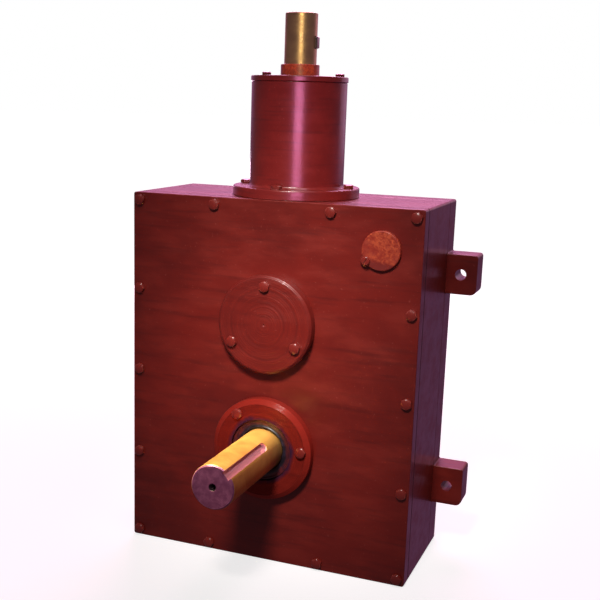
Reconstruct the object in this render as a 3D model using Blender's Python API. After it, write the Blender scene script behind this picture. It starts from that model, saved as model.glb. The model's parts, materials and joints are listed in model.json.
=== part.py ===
"""Right-angle industrial gearbox: a vertical input shaft drives a horizontal output shaft.

Metres, +Z up. The origin is the centre of the casing's underside, -Y points out of the
front cover along the output shaft, and +X is to the right of someone facing that cover.

Gear train: bevel pinion on the input shaft -> crown gear on the intermediate shaft,
spur pinion on the intermediate shaft -> spur gear on the output shaft.
"""

import math

import bmesh
import bpy

# Driving dimensions ---------------------------------------------------------------------

CASING_W = 0.400
CASING_H = 0.492
CASING_D = 0.176
COVER_T = 0.020
GASKET_T = 0.001
BACK_T = 0.038
WALL_T = 0.020
CORNER_R = 0.003

GAP = 0.0003  # air between still faces that touch on the real gearbox
RUN = 0.0007  # radial air between a turning surface and a still one
MERGE = 1e-6

OUTPUT_Z = 0.162
OUTPUT_R = 0.0285
OUTPUT_REACH = 0.166  # how far the output shaft stands out of the front cover

SPUR_MODULE = 0.005
SPUR_GEAR_TEETH = 51
SPUR_PINION_TEETH = 17
SPUR_FRONT_Y = -0.060
SPUR_BACK_Y = -0.032

BEVEL_MODULE = 0.004
CROWN_TEETH = 32
BEVEL_PINION_TEETH = 16
BEVEL_FACE = 0.020
BACKLASH = 0.0006  # taken off the thickness of every tooth at its pitch circle
PRESSURE_ANGLE = math.radians(20)

INPUT_R = 0.02125
INPUT_COLLAR_R = 0.0255
INPUT_TOP_Z = 0.728
COLLAR_TOP_Z = 0.663
INPUT_KEY_Z = 0.691
INPUT_KEY_R = 0.0078
INPUT_KEY_W = 0.008
PINION_SEAT_R = 0.014
NUT_THREAD_R = 0.0115

HOUSING_R = 0.0632
HOUSING_BORE_R = 0.040  # between the two bearings
HOUSING_TOP_Z = 0.6405
FLANGE_R = 0.085
FLANGE_T = 0.0125
FLANGE_BOLT_R = 0.0735
TOP_CAP_T = 0.007
TOP_CAP_R = 0.0642
INPUT_SEAL_R = 0.034

MID_CAP_R = 0.065
MID_CAP_BOLT_R = 0.051
OUTPUT_CAP_R = 0.0695
OUTPUT_CAP_BOLT_R = 0.0575
CAP_T = 0.016
OUTPUT_SEAL_R = 0.042

OUTPUT_KEYWAY_W = 0.012
OUTPUT_KEYWAY_DEPTH = 0.0055
OUTPUT_KEYWAY_LENGTH = 0.118
OUTPUT_KEYWAY_TURN = 45  # degrees up from +X
OUTPUT_SEAT_R = 0.0325

CROWN_FRONT_Y = 0.0275
CROWN_BACK_Y = 0.0445
CROWN_SEAT_R = 0.020

LUG_REACH = 0.0415
LUG_H = 0.054
LUG_ZS = (0.096, 0.395)
LUG_HOLE_R = 0.0075
LUG_HOLE_OUT = 0.0195  # from the side wall to the hole's axis
LUG_CORNER_R = 0.008

# The drain plug sits low in the left wall, half-way along the oil sump.
DRAIN_R = 0.008
DRAIN_AT = (0, -0.008, 0.040)

BOLT_INSET = 0.010  # from the casing's outline to the cover bolts' axes
BOLT_R = 0.004
BOLT_HOLE_R = 0.0047
BOLT_HEAD_R = 0.0075
BOLT_HEAD_H = 0.0055

FILLER_X, FILLER_Z = 0.148, 0.439
FILLER_HOLE_R = 0.015
FILLER_COVER_R = 0.025
FILLER_COVER_T = 0.005
PIVOT_X, PIVOT_Z = 0.1295, 0.4255
PIVOT_EAR_R = 0.008
PIVOT_SCREW_R = 0.003
PIVOT_HOLE_R = 0.0038

# Worked out from them -------------------------------------------------------------------

FRONT_Y = -CASING_D / 2
BACK_Y = CASING_D / 2
COVER_BACK_Y = FRONT_Y + COVER_T
GASKET_FRONT_Y = COVER_BACK_Y + GAP
GASKET_BACK_Y = GASKET_FRONT_Y + GASKET_T
FRAME_FRONT_Y = GASKET_BACK_Y + GAP
BACK_FRONT_Y = BACK_Y - BACK_T
FRAME_BACK_Y = BACK_FRONT_Y - GAP
CAP_FRONT_Y = FRONT_Y - GAP - CAP_T

CENTRE_DISTANCE = SPUR_MODULE * (SPUR_GEAR_TEETH + SPUR_PINION_TEETH) / 2
MID_Z = OUTPUT_Z + CENTRE_DISTANCE
PINION_PITCH_R = BEVEL_MODULE * BEVEL_PINION_TEETH / 2
CROWN_PITCH_R = BEVEL_MODULE * CROWN_TEETH / 2
CONE_DISTANCE = math.hypot(PINION_PITCH_R, CROWN_PITCH_R)

FRONT_BEARING_Y = (FRONT_Y + 0.004, COVER_BACK_Y + 0.002)
REAR_BEARING_Y = (BACK_FRONT_Y + 0.003, BACK_FRONT_Y + 0.021)
POCKET_END_Y = BACK_FRONT_Y + 0.024
OUTPUT_BEARING_R = (0.030, 0.0475)
MID_BEARING_R = (0.0175, 0.036)
INPUT_BEARING_R = (0.025, 0.045)
LOWER_BEARING_Z = (CASING_H + 0.002, CASING_H + 0.022)
UPPER_BEARING_Z = (HOUSING_TOP_Z - 0.034, HOUSING_TOP_Z - 0.014)
BEARING_FIT = 0.00035  # radial air round a bearing, in its seat and on its shaft
PINION_FRONT_Z = MID_Z + 0.0425
PINION_BACK_Z = MID_Z + 0.078
PINION_KEY_Z = (MID_Z + 0.048, MID_Z + 0.072)

ROUND = 40  # sides of a large round surface
SEAT = 30  # sides of shafts, bearings and the seats that hold them
SMALL = 12  # sides of a bolt
HOLE = 8  # sides of a bolt hole
ROLLERS = SEAT // 3

AXES = {"X": (1, 0, 0), "Y": (0, 1, 0), "Z": (0, 0, 1)}
MATERIALS = {}


# Materials ------------------------------------------------------------------------------


def add_material(name, color, roughness, metallic):
    material = bpy.data.materials.new(name)
    material.use_nodes = True
    shader = material.node_tree.nodes["Principled BSDF"]
    shader.inputs["Base Color"].default_value = (*color, 1)
    shader.inputs["Roughness"].default_value = roughness
    shader.inputs["Metallic"].default_value = metallic
    MATERIALS[name] = material


def add_materials():
    add_material("enamel", (0.20, 0.022, 0.016), 0.32, 0.0)
    add_material("primer", (0.62, 0.10, 0.025), 0.5, 0.0)
    add_material("steel", (0.47, 0.40, 0.36), 0.3, 1.0)
    add_material("bearing_steel", (0.60, 0.60, 0.61), 0.22, 1.0)
    add_material("gear_steel", (0.36, 0.36, 0.37), 0.38, 1.0)
    add_material("seal_rubber", (0.025, 0.02, 0.025), 0.5, 0.0)
    add_material("gasket_paper", (0.10, 0.06, 0.04), 0.8, 0.0)


# Solids ---------------------------------------------------------------------------------


def on_axis(axis, across, up, along):
    """A point from its distance along an axis and its two coordinates across it."""
    if axis == "Z":
        return (across, up, along)
    if axis == "Y":
        return (across, along, up)
    return (along, across, up)


def turned(profile, axis="Z", sides=ROUND, centre=(0, 0, 0)):
    """Turns (radius, height) points about an axis. A profile off the axis closes to a ring."""
    shape = bmesh.new()
    points = [shape.verts.new(on_axis(axis, radius, 0, height)) for radius, height in profile]
    ends = list(zip(points, points[1:]))
    if profile[0][0] > 0:
        ends.append((points[-1], points[0]))
    edges = [shape.edges.new(pair) for pair in ends]
    bmesh.ops.spin(
        shape, geom=points + edges, cent=(0, 0, 0), axis=AXES[axis], angle=math.tau, steps=sides
    )
    bmesh.ops.remove_doubles(shape, verts=shape.verts, dist=MERGE)
    bmesh.ops.recalc_face_normals(shape, faces=shape.faces)
    bmesh.ops.translate(shape, verts=shape.verts, vec=centre)
    return shape


def rod(radius, low, high, axis="Z", sides=ROUND, centre=(0, 0, 0)):
    return turned([(0, low), (radius, low), (radius, high), (0, high)], axis, sides, centre)


def prism(outline, axis, low, high, centre=(0, 0, 0)):
    """Extrudes a flat outline of (across, up) points along an axis."""
    shape = bmesh.new()
    corners = [shape.verts.new(on_axis(axis, across, up, low)) for across, up in outline]
    face = shape.faces.new(corners)
    extruded = bmesh.ops.extrude_face_region(shape, geom=[face])["geom"]
    moved = [item for item in extruded if isinstance(item, bmesh.types.BMVert)]
    bmesh.ops.translate(shape, verts=moved, vec=on_axis(axis, 0, 0, high - low))
    bmesh.ops.recalc_face_normals(shape, faces=shape.faces)
    bmesh.ops.translate(shape, verts=shape.verts, vec=centre)
    return shape


def lofted(rings):
    """Skins rings of points, all of one count, and closes both ends with flat faces."""
    shape = bmesh.new()
    loops = [[shape.verts.new(point) for point in ring] for ring in rings]
    for lower, upper in zip(loops, loops[1:]):
        for i in range(len(lower)):
            j = (i + 1) % len(lower)
            shape.faces.new((lower[i], lower[j], upper[j], upper[i]))
    shape.faces.new(loops[0])
    shape.faces.new(loops[-1])
    bmesh.ops.recalc_face_normals(shape, faces=shape.faces)
    return shape


def combined(shapes):
    whole = bmesh.new()
    for shape in shapes:
        mesh = bpy.data.meshes.new("shape")
        shape.to_mesh(mesh)
        shape.free()
        whole.from_mesh(mesh)
        bpy.data.meshes.remove(mesh)
    return whole


def add_object(name, shape, material=None, location=(0, 0, 0)):
    mesh = bpy.data.meshes.new(name)
    shape.to_mesh(mesh)
    shape.free()
    if material:
        mesh.materials.append(MATERIALS[material])
    mesh.shade_smooth()
    mesh.set_sharp_from_angle(angle=math.radians(32))
    piece = bpy.data.objects.new(name, mesh)
    piece.location = location
    bpy.context.scene.collection.objects.link(piece)
    return piece


def boolean(piece, shapes, operation):
    """Adds one Boolean whose operand holds all the shapes, in the piece's own frame."""
    count = len(piece.modifiers)
    operand = add_object(f"{piece.name}_tool_{count}", combined(shapes), None, piece.location)
    operand.hide_render = True
    operand.display_type = "WIRE"
    modifier = piece.modifiers.new(operation.lower(), "BOOLEAN")
    modifier.operation = operation
    modifier.object = operand


def cut(piece, *shapes):
    boolean(piece, shapes, "DIFFERENCE")


def join(piece, *shapes):
    boolean(piece, shapes, "UNION")


def arc(centre, radius, start, end, steps):
    """Points on an arc, its angles in degrees."""
    angles = [math.radians(start + (end - start) * i / steps) for i in range(steps + 1)]
    return [(centre[0] + radius * math.cos(a), centre[1] + radius * math.sin(a)) for a in angles]


def rectangle(low_x, high_x, low_z, high_z, radius=CORNER_R, steps=3):
    """A rectangle with rounded corners, anticlockwise from its lower right corner."""
    corners = (
        (high_x - radius, low_z + radius, -90),
        (high_x - radius, high_z - radius, 0),
        (low_x + radius, high_z - radius, 90),
        (low_x + radius, low_z + radius, 180),
    )
    points = []
    for x, z, start in corners:
        points += arc((x, z), radius, start, start + 90, steps)
    return points


def polar(radius, degrees):
    angle = math.radians(degrees)
    return radius * math.cos(angle), radius * math.sin(angle)


def hex_bolt(name, centre, axis, outward, shank, material="enamel"):
    """A hexagon-headed bolt whose head's seat is at centre; outward is +1 or -1 along axis."""
    profile = [
        (0, outward * BOLT_HEAD_H),
        (BOLT_HEAD_R, outward * BOLT_HEAD_H),
        (BOLT_HEAD_R, 0),
        (BOLT_R, 0),
        (BOLT_R, -outward * shank),
        (0, -outward * shank),
    ]
    shape = turned(profile, axis, SMALL)
    step = math.tau / SMALL
    flat = math.cos(math.pi / 6)
    across = [i for i in range(3) if not AXES[axis][i]]
    for vert in shape.verts:
        u, v = (vert.co[i] for i in across)
        if math.hypot(u, v) > BOLT_R + MERGE and round(math.atan2(v, u) / step) % 2:
            for i in across:
                vert.co[i] *= flat
    return add_object(name, shape, material, centre)


# Gears ----------------------------------------------------------------------------------


def involute(angle):
    return math.tan(angle) - angle


def tooth_outline(teeth, module, flank_points):
    """(radius, angle) points over one involute tooth centred on angle 0, angles rising."""
    pitch_r = teeth * module / 2
    base_r = pitch_r * math.cos(PRESSURE_ANGLE)
    tip_r = pitch_r + module
    root_r = pitch_r - 1.25 * module
    half_pitch = (math.pi * module / 2 - BACKLASH) / 2 / pitch_r

    def half_angle(radius):
        return half_pitch + involute(PRESSURE_ANGLE) - involute(math.acos(base_r / radius))

    start_r = max(root_r, base_r + 0.01 * module)
    radii = [start_r + (tip_r - start_r) * i / (flank_points - 1) for i in range(flank_points)]
    flank = [(radius, half_angle(radius)) for radius in radii]
    if start_r > root_r:
        flank.insert(0, (root_r, half_angle(start_r) + 0.12 * module / root_r))
    return [(radius, -angle) for radius, angle in flank] + flank[::-1]


def gear_outline(teeth, module, first_tooth, flank_points=3):
    """(across, up) points of a spur gear with a tooth centred on first_tooth, in degrees."""
    tooth = tooth_outline(teeth, module, flank_points)
    points = []
    for i in range(teeth):
        middle = math.radians(first_tooth) + math.tau * i / teeth
        points += [(r * math.cos(a + middle), r * math.sin(a + middle)) for r, a in tooth]
    return points


def bevel_rings(teeth, pitch_r, first_tooth, flank_points, hub, back):
    """Rings of (radius, angle, distance from the cones' apex), from the small end outwards.

    hub and back are the (radius, distance) of the plain rings that close the two ends.
    The tooth form is that of the virtual spur gear on the back cone, and it shrinks
    towards the apex, so every flank is a ruled surface through the apex.
    """
    pitch_angle = math.asin(pitch_r / CONE_DISTANCE)
    cosine, sine = math.cos(pitch_angle), math.sin(pitch_angle)
    tooth = tooth_outline(teeth / cosine, BEVEL_MODULE, flank_points)
    large = []
    for i in range(teeth):
        middle = math.radians(first_tooth) + math.tau * i / teeth
        for rho, psi in tooth:
            height = CONE_DISTANCE / cosine - rho * sine
            large.append((rho * cosine, middle + psi / cosine, height))
    shrink = 1 - BEVEL_FACE / CONE_DISTANCE
    small = [(radius * shrink, angle, height * shrink) for radius, angle, height in large]
    plain = [[(radius, angle, height) for _, angle, _ in large] for radius, height in (hub, back)]
    return [plain[0], small, large, plain[1]]


def ring_points(ring, axis):
    return [on_axis(axis, r * math.cos(a), r * math.sin(a), height) for r, a, height in ring]


def keyway(width, low, high, inner, outer, axis="Y"):
    """A straight slot or key that stands out along +Z, or +X on a Z shaft."""
    if axis == "Y":
        outline = [(-width / 2, inner), (width / 2, inner), (width / 2, outer), (-width / 2, outer)]
        return prism(outline, "Y", low, high)
    outline = [(inner, -width / 2), (outer, -width / 2), (outer, width / 2), (inner, width / 2)]
    return prism(outline, "Z", low, high)


# Bearings -------------------------------------------------------------------------------


def bearing(name, axis, span, radii, wide_end, location=(0, 0, 0)):
    """A tapered roller bearing: a cup that stays still, and a cone with its rollers.

    wide_end is +1 where the rollers' large ends point along the axis, or -1.
    """
    bore_r, outer_r = radii
    depth = outer_r - bore_r
    middle = (span[0] + span[1]) / 2
    half = wide_end * (span[1] - span[0]) / 2
    cup_wide = outer_r - 0.15 * depth
    cup_narrow = outer_r - 0.32 * depth
    cup = [
        (outer_r, middle + 0.80 * half),
        (outer_r, middle - half),
        (cup_narrow, middle - half),
        (cup_wide, middle + 0.80 * half),
    ]
    add_object(f"{name}_cup", turned(cup, axis, SEAT), "bearing_steel", location)

    air = RUN + outer_r * (1 - math.cos(math.pi / SEAT))
    bore = bore_r + BEARING_FIT
    slope = (cup_wide - cup_narrow) / 1.8
    roller_wide = cup_narrow + 1.85 * slope - air
    roller_narrow = cup_narrow + 0.25 * slope - air
    cone = [
        (bore, middle - half),
        (bore, middle + half),
        (bore_r + 0.34 * depth, middle + half),
        (roller_wide, middle + 0.85 * half),
        (roller_narrow, middle - 0.75 * half),
        (bore_r + 0.26 * depth, middle - half),
    ]
    shape = turned(cone, axis, SEAT)
    across = [i for i in range(3) if not AXES[axis][i]]
    for vert in shape.verts:
        u, v = (vert.co[i] for i in across)
        radius = math.hypot(u, v)
        between_rollers = round(math.atan2(v, u) / math.tau * SEAT) % 3 == 0
        if between_rollers and radius > roller_narrow - MERGE:
            for i in across:
                vert.co[i] *= 1 - 0.13 * depth / radius
    add_object(f"{name}_cone", shape, "bearing_steel", location)


# Casing ---------------------------------------------------------------------------------


def cover_bolt_places():
    """(x, z) of the bolts round the front cover's edge."""
    side_x = CASING_W / 2 - BOLT_INSET
    top_z = CASING_H - BOLT_INSET
    row_xs = (-side_x, -0.2 * CASING_W, 0.2 * CASING_W, side_x)
    rows = [(x, z) for z in (BOLT_INSET, top_z) for x in row_xs]
    sides = [(x, z) for z in (0.128, 0.248, 0.362) for x in (-side_x, side_x)]
    return rows + sides


def bolt_holes(places, axis, low, high, radius=BOLT_HOLE_R):
    """One rod per (across, up) place, to be cut away."""
    return [rod(radius, low, high, axis, HOLE, on_axis(axis, u, v, 0)) for u, v in places]


def flange_bolt_places():
    return [polar(FLANGE_BOLT_R, degrees) for degrees in (-90, 0, 90, 180)]


def mid_cap_bolt_places():
    return [polar(MID_CAP_BOLT_R, degrees) for degrees in (90, 210, 330)]


def output_cap_bolt_places():
    return [polar(OUTPUT_CAP_BOLT_R, degrees) for degrees in (6, 126, 246)]


def raised(places, height):
    return [(x, z + height) for x, z in places]


def casing_frame():
    outline = rectangle(-CASING_W / 2, CASING_W / 2, 0, CASING_H)
    frame = add_object("casing_frame", prism(outline, "Y", FRAME_FRONT_Y, FRAME_BACK_Y), "enamel")
    inner_x = CASING_W / 2 - WALL_T
    inner = rectangle(-inner_x, inner_x, WALL_T, CASING_H - WALL_T, 0.006, 2)
    cut(frame, prism(inner, "Y", FRAME_FRONT_Y - 0.01, FRAME_BACK_Y + 0.01))
    side_places = [place for place in flange_bolt_places() if abs(place[1]) < WALL_T]
    cut(
        frame,
        *bolt_holes(cover_bolt_places(), "Y", FRAME_FRONT_Y - 0.002, FRAME_FRONT_Y + 0.022),
        *bolt_holes(side_places, "Z", CASING_H - 0.015, CASING_H + 0.002),
        rod(HOUSING_BORE_R, CASING_H - WALL_T - 0.005, CASING_H + 0.005, "Z", SEAT),
        rod(DRAIN_R + 0.0004, -CASING_W / 2 - 0.005, -inner_x + 0.005, "X", 16, DRAIN_AT),
    )


def back_plate():
    half = CASING_W / 2
    outline = []
    for side in (1, -1):
        for z in LUG_ZS if side > 0 else LUG_ZS[::-1]:
            corners = (
                (half + LUG_REACH - LUG_CORNER_R, z - LUG_H / 2 + LUG_CORNER_R, -90),
                (half + LUG_REACH - LUG_CORNER_R / 2, z + LUG_H / 2 - LUG_CORNER_R / 2, 0),
            )
            lug = [(half, z - LUG_H / 2)]
            lug += arc(corners[0][:2], LUG_CORNER_R, -90, 0, 4)
            lug += arc(corners[1][:2], LUG_CORNER_R / 2, 0, 90, 3)
            lug.append((half, z + LUG_H / 2))
            outline += lug if side > 0 else [(-x, w) for x, w in lug[::-1]]
        end = CASING_H if side > 0 else 0
        corner = rectangle(-half, half, 0, CASING_H)
        outline += corner[4:12] if end else corner[12:] + corner[:4]
    plate = add_object("back_plate", prism(outline, "Y", BACK_FRONT_Y, BACK_Y), "enamel")
    lug_x = half + LUG_HOLE_OUT
    lug_places = [(x, z) for x in (-lug_x, lug_x) for z in LUG_ZS]
    rear_place = [place for place in flange_bolt_places() if place[1] > BACK_FRONT_Y]
    cut(
        plate,
        *[
            rod(LUG_HOLE_R, BACK_FRONT_Y - 0.005, BACK_Y + 0.005, "Y", 20, (x, 0, z))
            for x, z in lug_places
        ],
        rod(OUTPUT_BEARING_R[1] + BEARING_FIT, 0, POCKET_END_Y, "Y", SEAT, (0, 0, OUTPUT_Z)),
        rod(MID_BEARING_R[1] + BEARING_FIT, 0, POCKET_END_Y, "Y", SEAT, (0, 0, MID_Z)),
        *bolt_holes(rear_place, "Z", CASING_H - 0.015, CASING_H + 0.002),
    )


def front_cover():
    outline = rectangle(-CASING_W / 2, CASING_W / 2, 0, CASING_H)
    cover = add_object("front_cover", prism(outline, "Y", FRONT_Y, COVER_BACK_Y), "enamel")
    low, high = FRONT_Y - 0.005, COVER_BACK_Y + 0.005
    blind = FRONT_Y + 0.014
    front_place = [place for place in flange_bolt_places() if place[1] < COVER_BACK_Y]
    cut(
        cover,
        *bolt_holes(cover_bolt_places(), "Y", low, high),
        *bolt_holes(raised(mid_cap_bolt_places(), MID_Z), "Y", low, blind),
        *bolt_holes(raised(output_cap_bolt_places(), OUTPUT_Z), "Y", low, blind),
        *bolt_holes(front_place, "Z", CASING_H - 0.015, CASING_H + 0.002),
        *bolt_holes([(PIVOT_X, PIVOT_Z)], "Y", low, FRONT_Y + 0.012, PIVOT_HOLE_R),
        rod(OUTPUT_BEARING_R[1] + BEARING_FIT, low, high, "Y", SEAT, (0, 0, OUTPUT_Z)),
        rod(MID_BEARING_R[1] + BEARING_FIT, low, high, "Y", SEAT, (0, 0, MID_Z)),
        rod(FILLER_HOLE_R, low, high, "Y", 24, (FILLER_X, 0, FILLER_Z)),
    )


def cover_gasket():
    outline = rectangle(-CASING_W / 2, CASING_W / 2, 0, CASING_H)
    sheet = prism(outline, "Y", GASKET_FRONT_Y, GASKET_BACK_Y)
    gasket = add_object("cover_gasket", sheet, "gasket_paper")
    inner_x = CASING_W / 2 - WALL_T
    inner = rectangle(-inner_x, inner_x, WALL_T, CASING_H - WALL_T, 0.006, 2)
    low, high = GASKET_FRONT_Y - 0.005, GASKET_BACK_Y + 0.005
    cut(gasket, prism(inner, "Y", low, high), *bolt_holes(cover_bolt_places(), "Y", low, high))


def cap_profile(radius, spigot_r, hollow_r, hollow_y):
    """A round cap with a softened front edge, from its front face's inner edge outwards."""
    back = FRONT_Y - GAP
    edge = 0.0015
    return [
        (radius - edge, CAP_FRONT_Y),
        (radius, CAP_FRONT_Y + edge),
        (radius, back),
        (spigot_r, back),
        (spigot_r, FRONT_BEARING_Y[0] - GAP),
        (hollow_r, FRONT_BEARING_Y[0] - GAP),
        (hollow_r, hollow_y),
    ]


def bearing_caps():
    low = CAP_FRONT_Y - 0.005
    profile = cap_profile(MID_CAP_R, MID_BEARING_R[1] - 0.0005, 0.027, FRONT_Y - 0.006)
    shape = turned([(0, CAP_FRONT_Y), *profile, (0, FRONT_Y - 0.006)], "Y")
    cap = add_object("intermediate_bearing_cap", shape, "enamel", (0, 0, MID_Z))
    cut(cap, *bolt_holes(mid_cap_bolt_places(), "Y", low, 0))

    profile = cap_profile(OUTPUT_CAP_R, OUTPUT_BEARING_R[1] - 0.0005, OUTPUT_SEAL_R, CAP_FRONT_Y)
    cap = add_object("output_bearing_cap", turned(profile, "Y"), "enamel", (0, 0, OUTPUT_Z))
    cut(cap, *bolt_holes(output_cap_bolt_places(), "Y", low, 0))

    front = CAP_FRONT_Y + 0.0035
    lip = OUTPUT_R + RUN
    seal = [
        (OUTPUT_SEAL_R - GAP, front),
        (OUTPUT_SEAL_R - GAP, front + 0.010),
        (lip + 0.004, front + 0.010),
        (lip, front + 0.006),
        (lip, front + 0.003),
        (lip + 0.003, front),
    ]
    add_object("output_oil_seal", turned(seal, "Y"), "seal_rubber", (0, 0, OUTPUT_Z))


def filler_cover():
    """A round cover over the oil filler hole, which swings about its one screw."""
    back = FRONT_Y - GAP
    front = back - FILLER_COVER_T
    edge = 0.001
    x, z = FILLER_X - PIVOT_X, FILLER_Z - PIVOT_Z
    disc = [
        (0, front),
        (FILLER_COVER_R - edge, front),
        (FILLER_COVER_R, front + edge),
        (FILLER_COVER_R, back),
        (0, back),
    ]
    shape = turned(disc, "Y", 40, (x, 0, z))
    cover = add_object("filler_cover", shape, "primer", (PIVOT_X, 0, PIVOT_Z))
    join(cover, rod(PIVOT_EAR_R, front, back, "Y", 20))
    cut(cover, rod(PIVOT_HOLE_R, front - 0.005, back + 0.005, "Y", SMALL))
    head = [
        (0, front - GAP - 0.0035),
        (0.0045, front - GAP - 0.0035),
        (0.0055, front - GAP - 0.002),
        (0.0055, front - GAP),
        (PIVOT_SCREW_R, front - GAP),
        (PIVOT_SCREW_R, FRONT_Y + 0.010),
        (0, FRONT_Y + 0.010),
    ]
    add_object("filler_cover_screw", turned(head, "Y", 16), "enamel", (PIVOT_X, 0, PIVOT_Z))


def drain_plug():
    face = -CASING_W / 2 - GAP
    profile = [
        (0, face - 0.010),
        (0.0135, face - 0.010),
        (0.0135, face - 0.0015),
        (0.0150, face - 0.0015),
        (0.0150, face),
        (DRAIN_R, face),
        (DRAIN_R, face + 0.018),
        (0, face + 0.018),
    ]
    shape = turned(profile, "X", SMALL)
    for vert in shape.verts:
        odd = round(math.atan2(vert.co.z, vert.co.y) / (math.tau / SMALL)) % 2
        if odd and vert.co.x < face - 0.001 and math.hypot(vert.co.y, vert.co.z) > DRAIN_R:
            vert.co.yz = [value * math.cos(math.pi / 6) for value in vert.co.yz]
    add_object("drain_plug", shape, "steel", DRAIN_AT)


# Input side -----------------------------------------------------------------------------


def input_housing():
    base = CASING_H + GAP
    top = HOUSING_TOP_Z
    seat = INPUT_BEARING_R[1] + BEARING_FIT
    edge = 0.0015
    profile = [
        (FLANGE_R, base),
        (FLANGE_R, base + FLANGE_T - edge),
        (FLANGE_R - edge, base + FLANGE_T),
        (HOUSING_R + 0.003, base + FLANGE_T),
        (HOUSING_R, base + FLANGE_T + 0.003),
        (HOUSING_R, top),
        (seat, top),
        (seat, UPPER_BEARING_Z[0] - GAP),
        (HOUSING_BORE_R, UPPER_BEARING_Z[0] - GAP),
        (HOUSING_BORE_R, LOWER_BEARING_Z[1] + GAP),
        (seat, LOWER_BEARING_Z[1] + GAP),
        (seat, base),
    ]
    housing = add_object("input_housing", turned(profile, "Z"), "enamel")
    cut(housing, *bolt_holes(flange_bolt_places(), "Z", base - 0.005, base + FLANGE_T + 0.005))


def input_top_cap():
    low = HOUSING_TOP_Z + GAP
    high = low + TOP_CAP_T
    edge = 0.001
    spigot_r = INPUT_BEARING_R[1] - 0.0005
    hollow_r = INPUT_SEAL_R + 0.003
    profile = [
        (INPUT_SEAL_R, high),
        (TOP_CAP_R - edge, high),
        (TOP_CAP_R, high - edge),
        (TOP_CAP_R, low),
        (spigot_r, low),
        (spigot_r, UPPER_BEARING_Z[1] + GAP),
        (hollow_r, UPPER_BEARING_Z[1] + GAP),
        (hollow_r, low - 0.006),
        (INPUT_SEAL_R, low - 0.006),
    ]
    add_object("input_top_cap", turned(profile, "Z"), "enamel")
    lip = INPUT_COLLAR_R + RUN
    seal = [
        (INPUT_SEAL_R - GAP, high - 0.002),
        (lip + 0.002, high - 0.002),
        (lip, high - 0.004),
        (lip, high - 0.007),
        (lip + 0.003, high - 0.011),
        (INPUT_SEAL_R - GAP, high - 0.011),
    ]
    add_object("input_oil_seal", turned(seal, "Z"), "seal_rubber")


def disc_key(radius, flat_x, width):
    """A half-moon key, or the seat for one, sunk into the input shaft and cut off flat."""
    middle_x = INPUT_R - 0.001
    limit = math.degrees(math.acos((flat_x - middle_x) / radius))
    outline = arc((middle_x, INPUT_KEY_Z), radius, limit, 360 - limit, 14)
    return prism(outline, "Y", -width / 2, width / 2)


def input_shaft():
    seat = INPUT_BEARING_R[0]
    profile = [
        (0, MID_Z + 0.027),
        (NUT_THREAD_R - 0.001, MID_Z + 0.027),
        (NUT_THREAD_R, MID_Z + 0.028),
        (NUT_THREAD_R, PINION_FRONT_Z - GAP),
        (PINION_SEAT_R, PINION_FRONT_Z - GAP),
        (PINION_SEAT_R, PINION_BACK_Z + GAP),
        (0.0215, PINION_BACK_Z + GAP),
        (0.0215, LOWER_BEARING_Z[0] - 0.016),
        (0.0290, LOWER_BEARING_Z[0] - 0.016),
        (0.0290, LOWER_BEARING_Z[0] - GAP),
        (seat, LOWER_BEARING_Z[0] - GAP),
        (seat, UPPER_BEARING_Z[1] + 0.002),
        (INPUT_COLLAR_R, UPPER_BEARING_Z[1] + 0.002),
        (INPUT_COLLAR_R, COLLAR_TOP_Z - 0.001),
        (INPUT_COLLAR_R - 0.001, COLLAR_TOP_Z),
        (INPUT_R, COLLAR_TOP_Z),
        (INPUT_R, INPUT_TOP_Z - 0.0015),
        (INPUT_R - 0.0015, INPUT_TOP_Z),
        (0.0035, INPUT_TOP_Z),
        (0, INPUT_TOP_Z - 0.006),
    ]
    shaft = add_object("input_shaft", turned(profile, "Z", SEAT), "steel")
    key_seat = disc_key(INPUT_KEY_R + 0.0004, INPUT_R + 0.004, INPUT_KEY_W + 2 * GAP)
    pinion_slot = keyway(0.0086, PINION_KEY_Z[0] - GAP, PINION_KEY_Z[1] + GAP, 0.0100, 0.020, "Z")
    cut(shaft, key_seat, pinion_slot)
    key = disc_key(INPUT_KEY_R, INPUT_R + 0.0031, INPUT_KEY_W)
    add_object("input_shaft_key", key, "steel")


def bevel_pinion():
    hub = (0.0185, PINION_FRONT_Z - MID_Z)
    back = (0.0230, 0.070)
    rings = bevel_rings(
        BEVEL_PINION_TEETH, PINION_PITCH_R, 90 + 180 / BEVEL_PINION_TEETH, 3, hub, back
    )
    shape = lofted([ring_points(ring, "Z") for ring in rings])
    pinion = add_object("bevel_pinion", shape, "gear_steel", (0, 0, MID_Z))
    join(pinion, rod(0.0215, 0.060, PINION_BACK_Z - MID_Z, "Z", SEAT))
    cut(pinion, rod(PINION_SEAT_R + 0.00035, 0, 0.1, "Z", SEAT))
    cut(pinion, keyway(0.0086, 0, 0.1, 0, PINION_SEAT_R + 0.0035, "Z"))
    shape = keyway(0.008, PINION_KEY_Z[0], PINION_KEY_Z[1], 0.0103, PINION_SEAT_R + 0.0031, "Z")
    add_object("bevel_pinion_key", shape, "steel")
    nut = [
        (NUT_THREAD_R + 0.0004, PINION_FRONT_Z - 0.0125),
        (0.0165, PINION_FRONT_Z - 0.0125),
        (0.0165, PINION_FRONT_Z - 2 * GAP),
        (NUT_THREAD_R + 0.0004, PINION_FRONT_Z - 2 * GAP),
    ]
    add_object("input_locknut", turned(nut, "Z", 24), "steel")


# Intermediate and output shafts ---------------------------------------------------------


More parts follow.
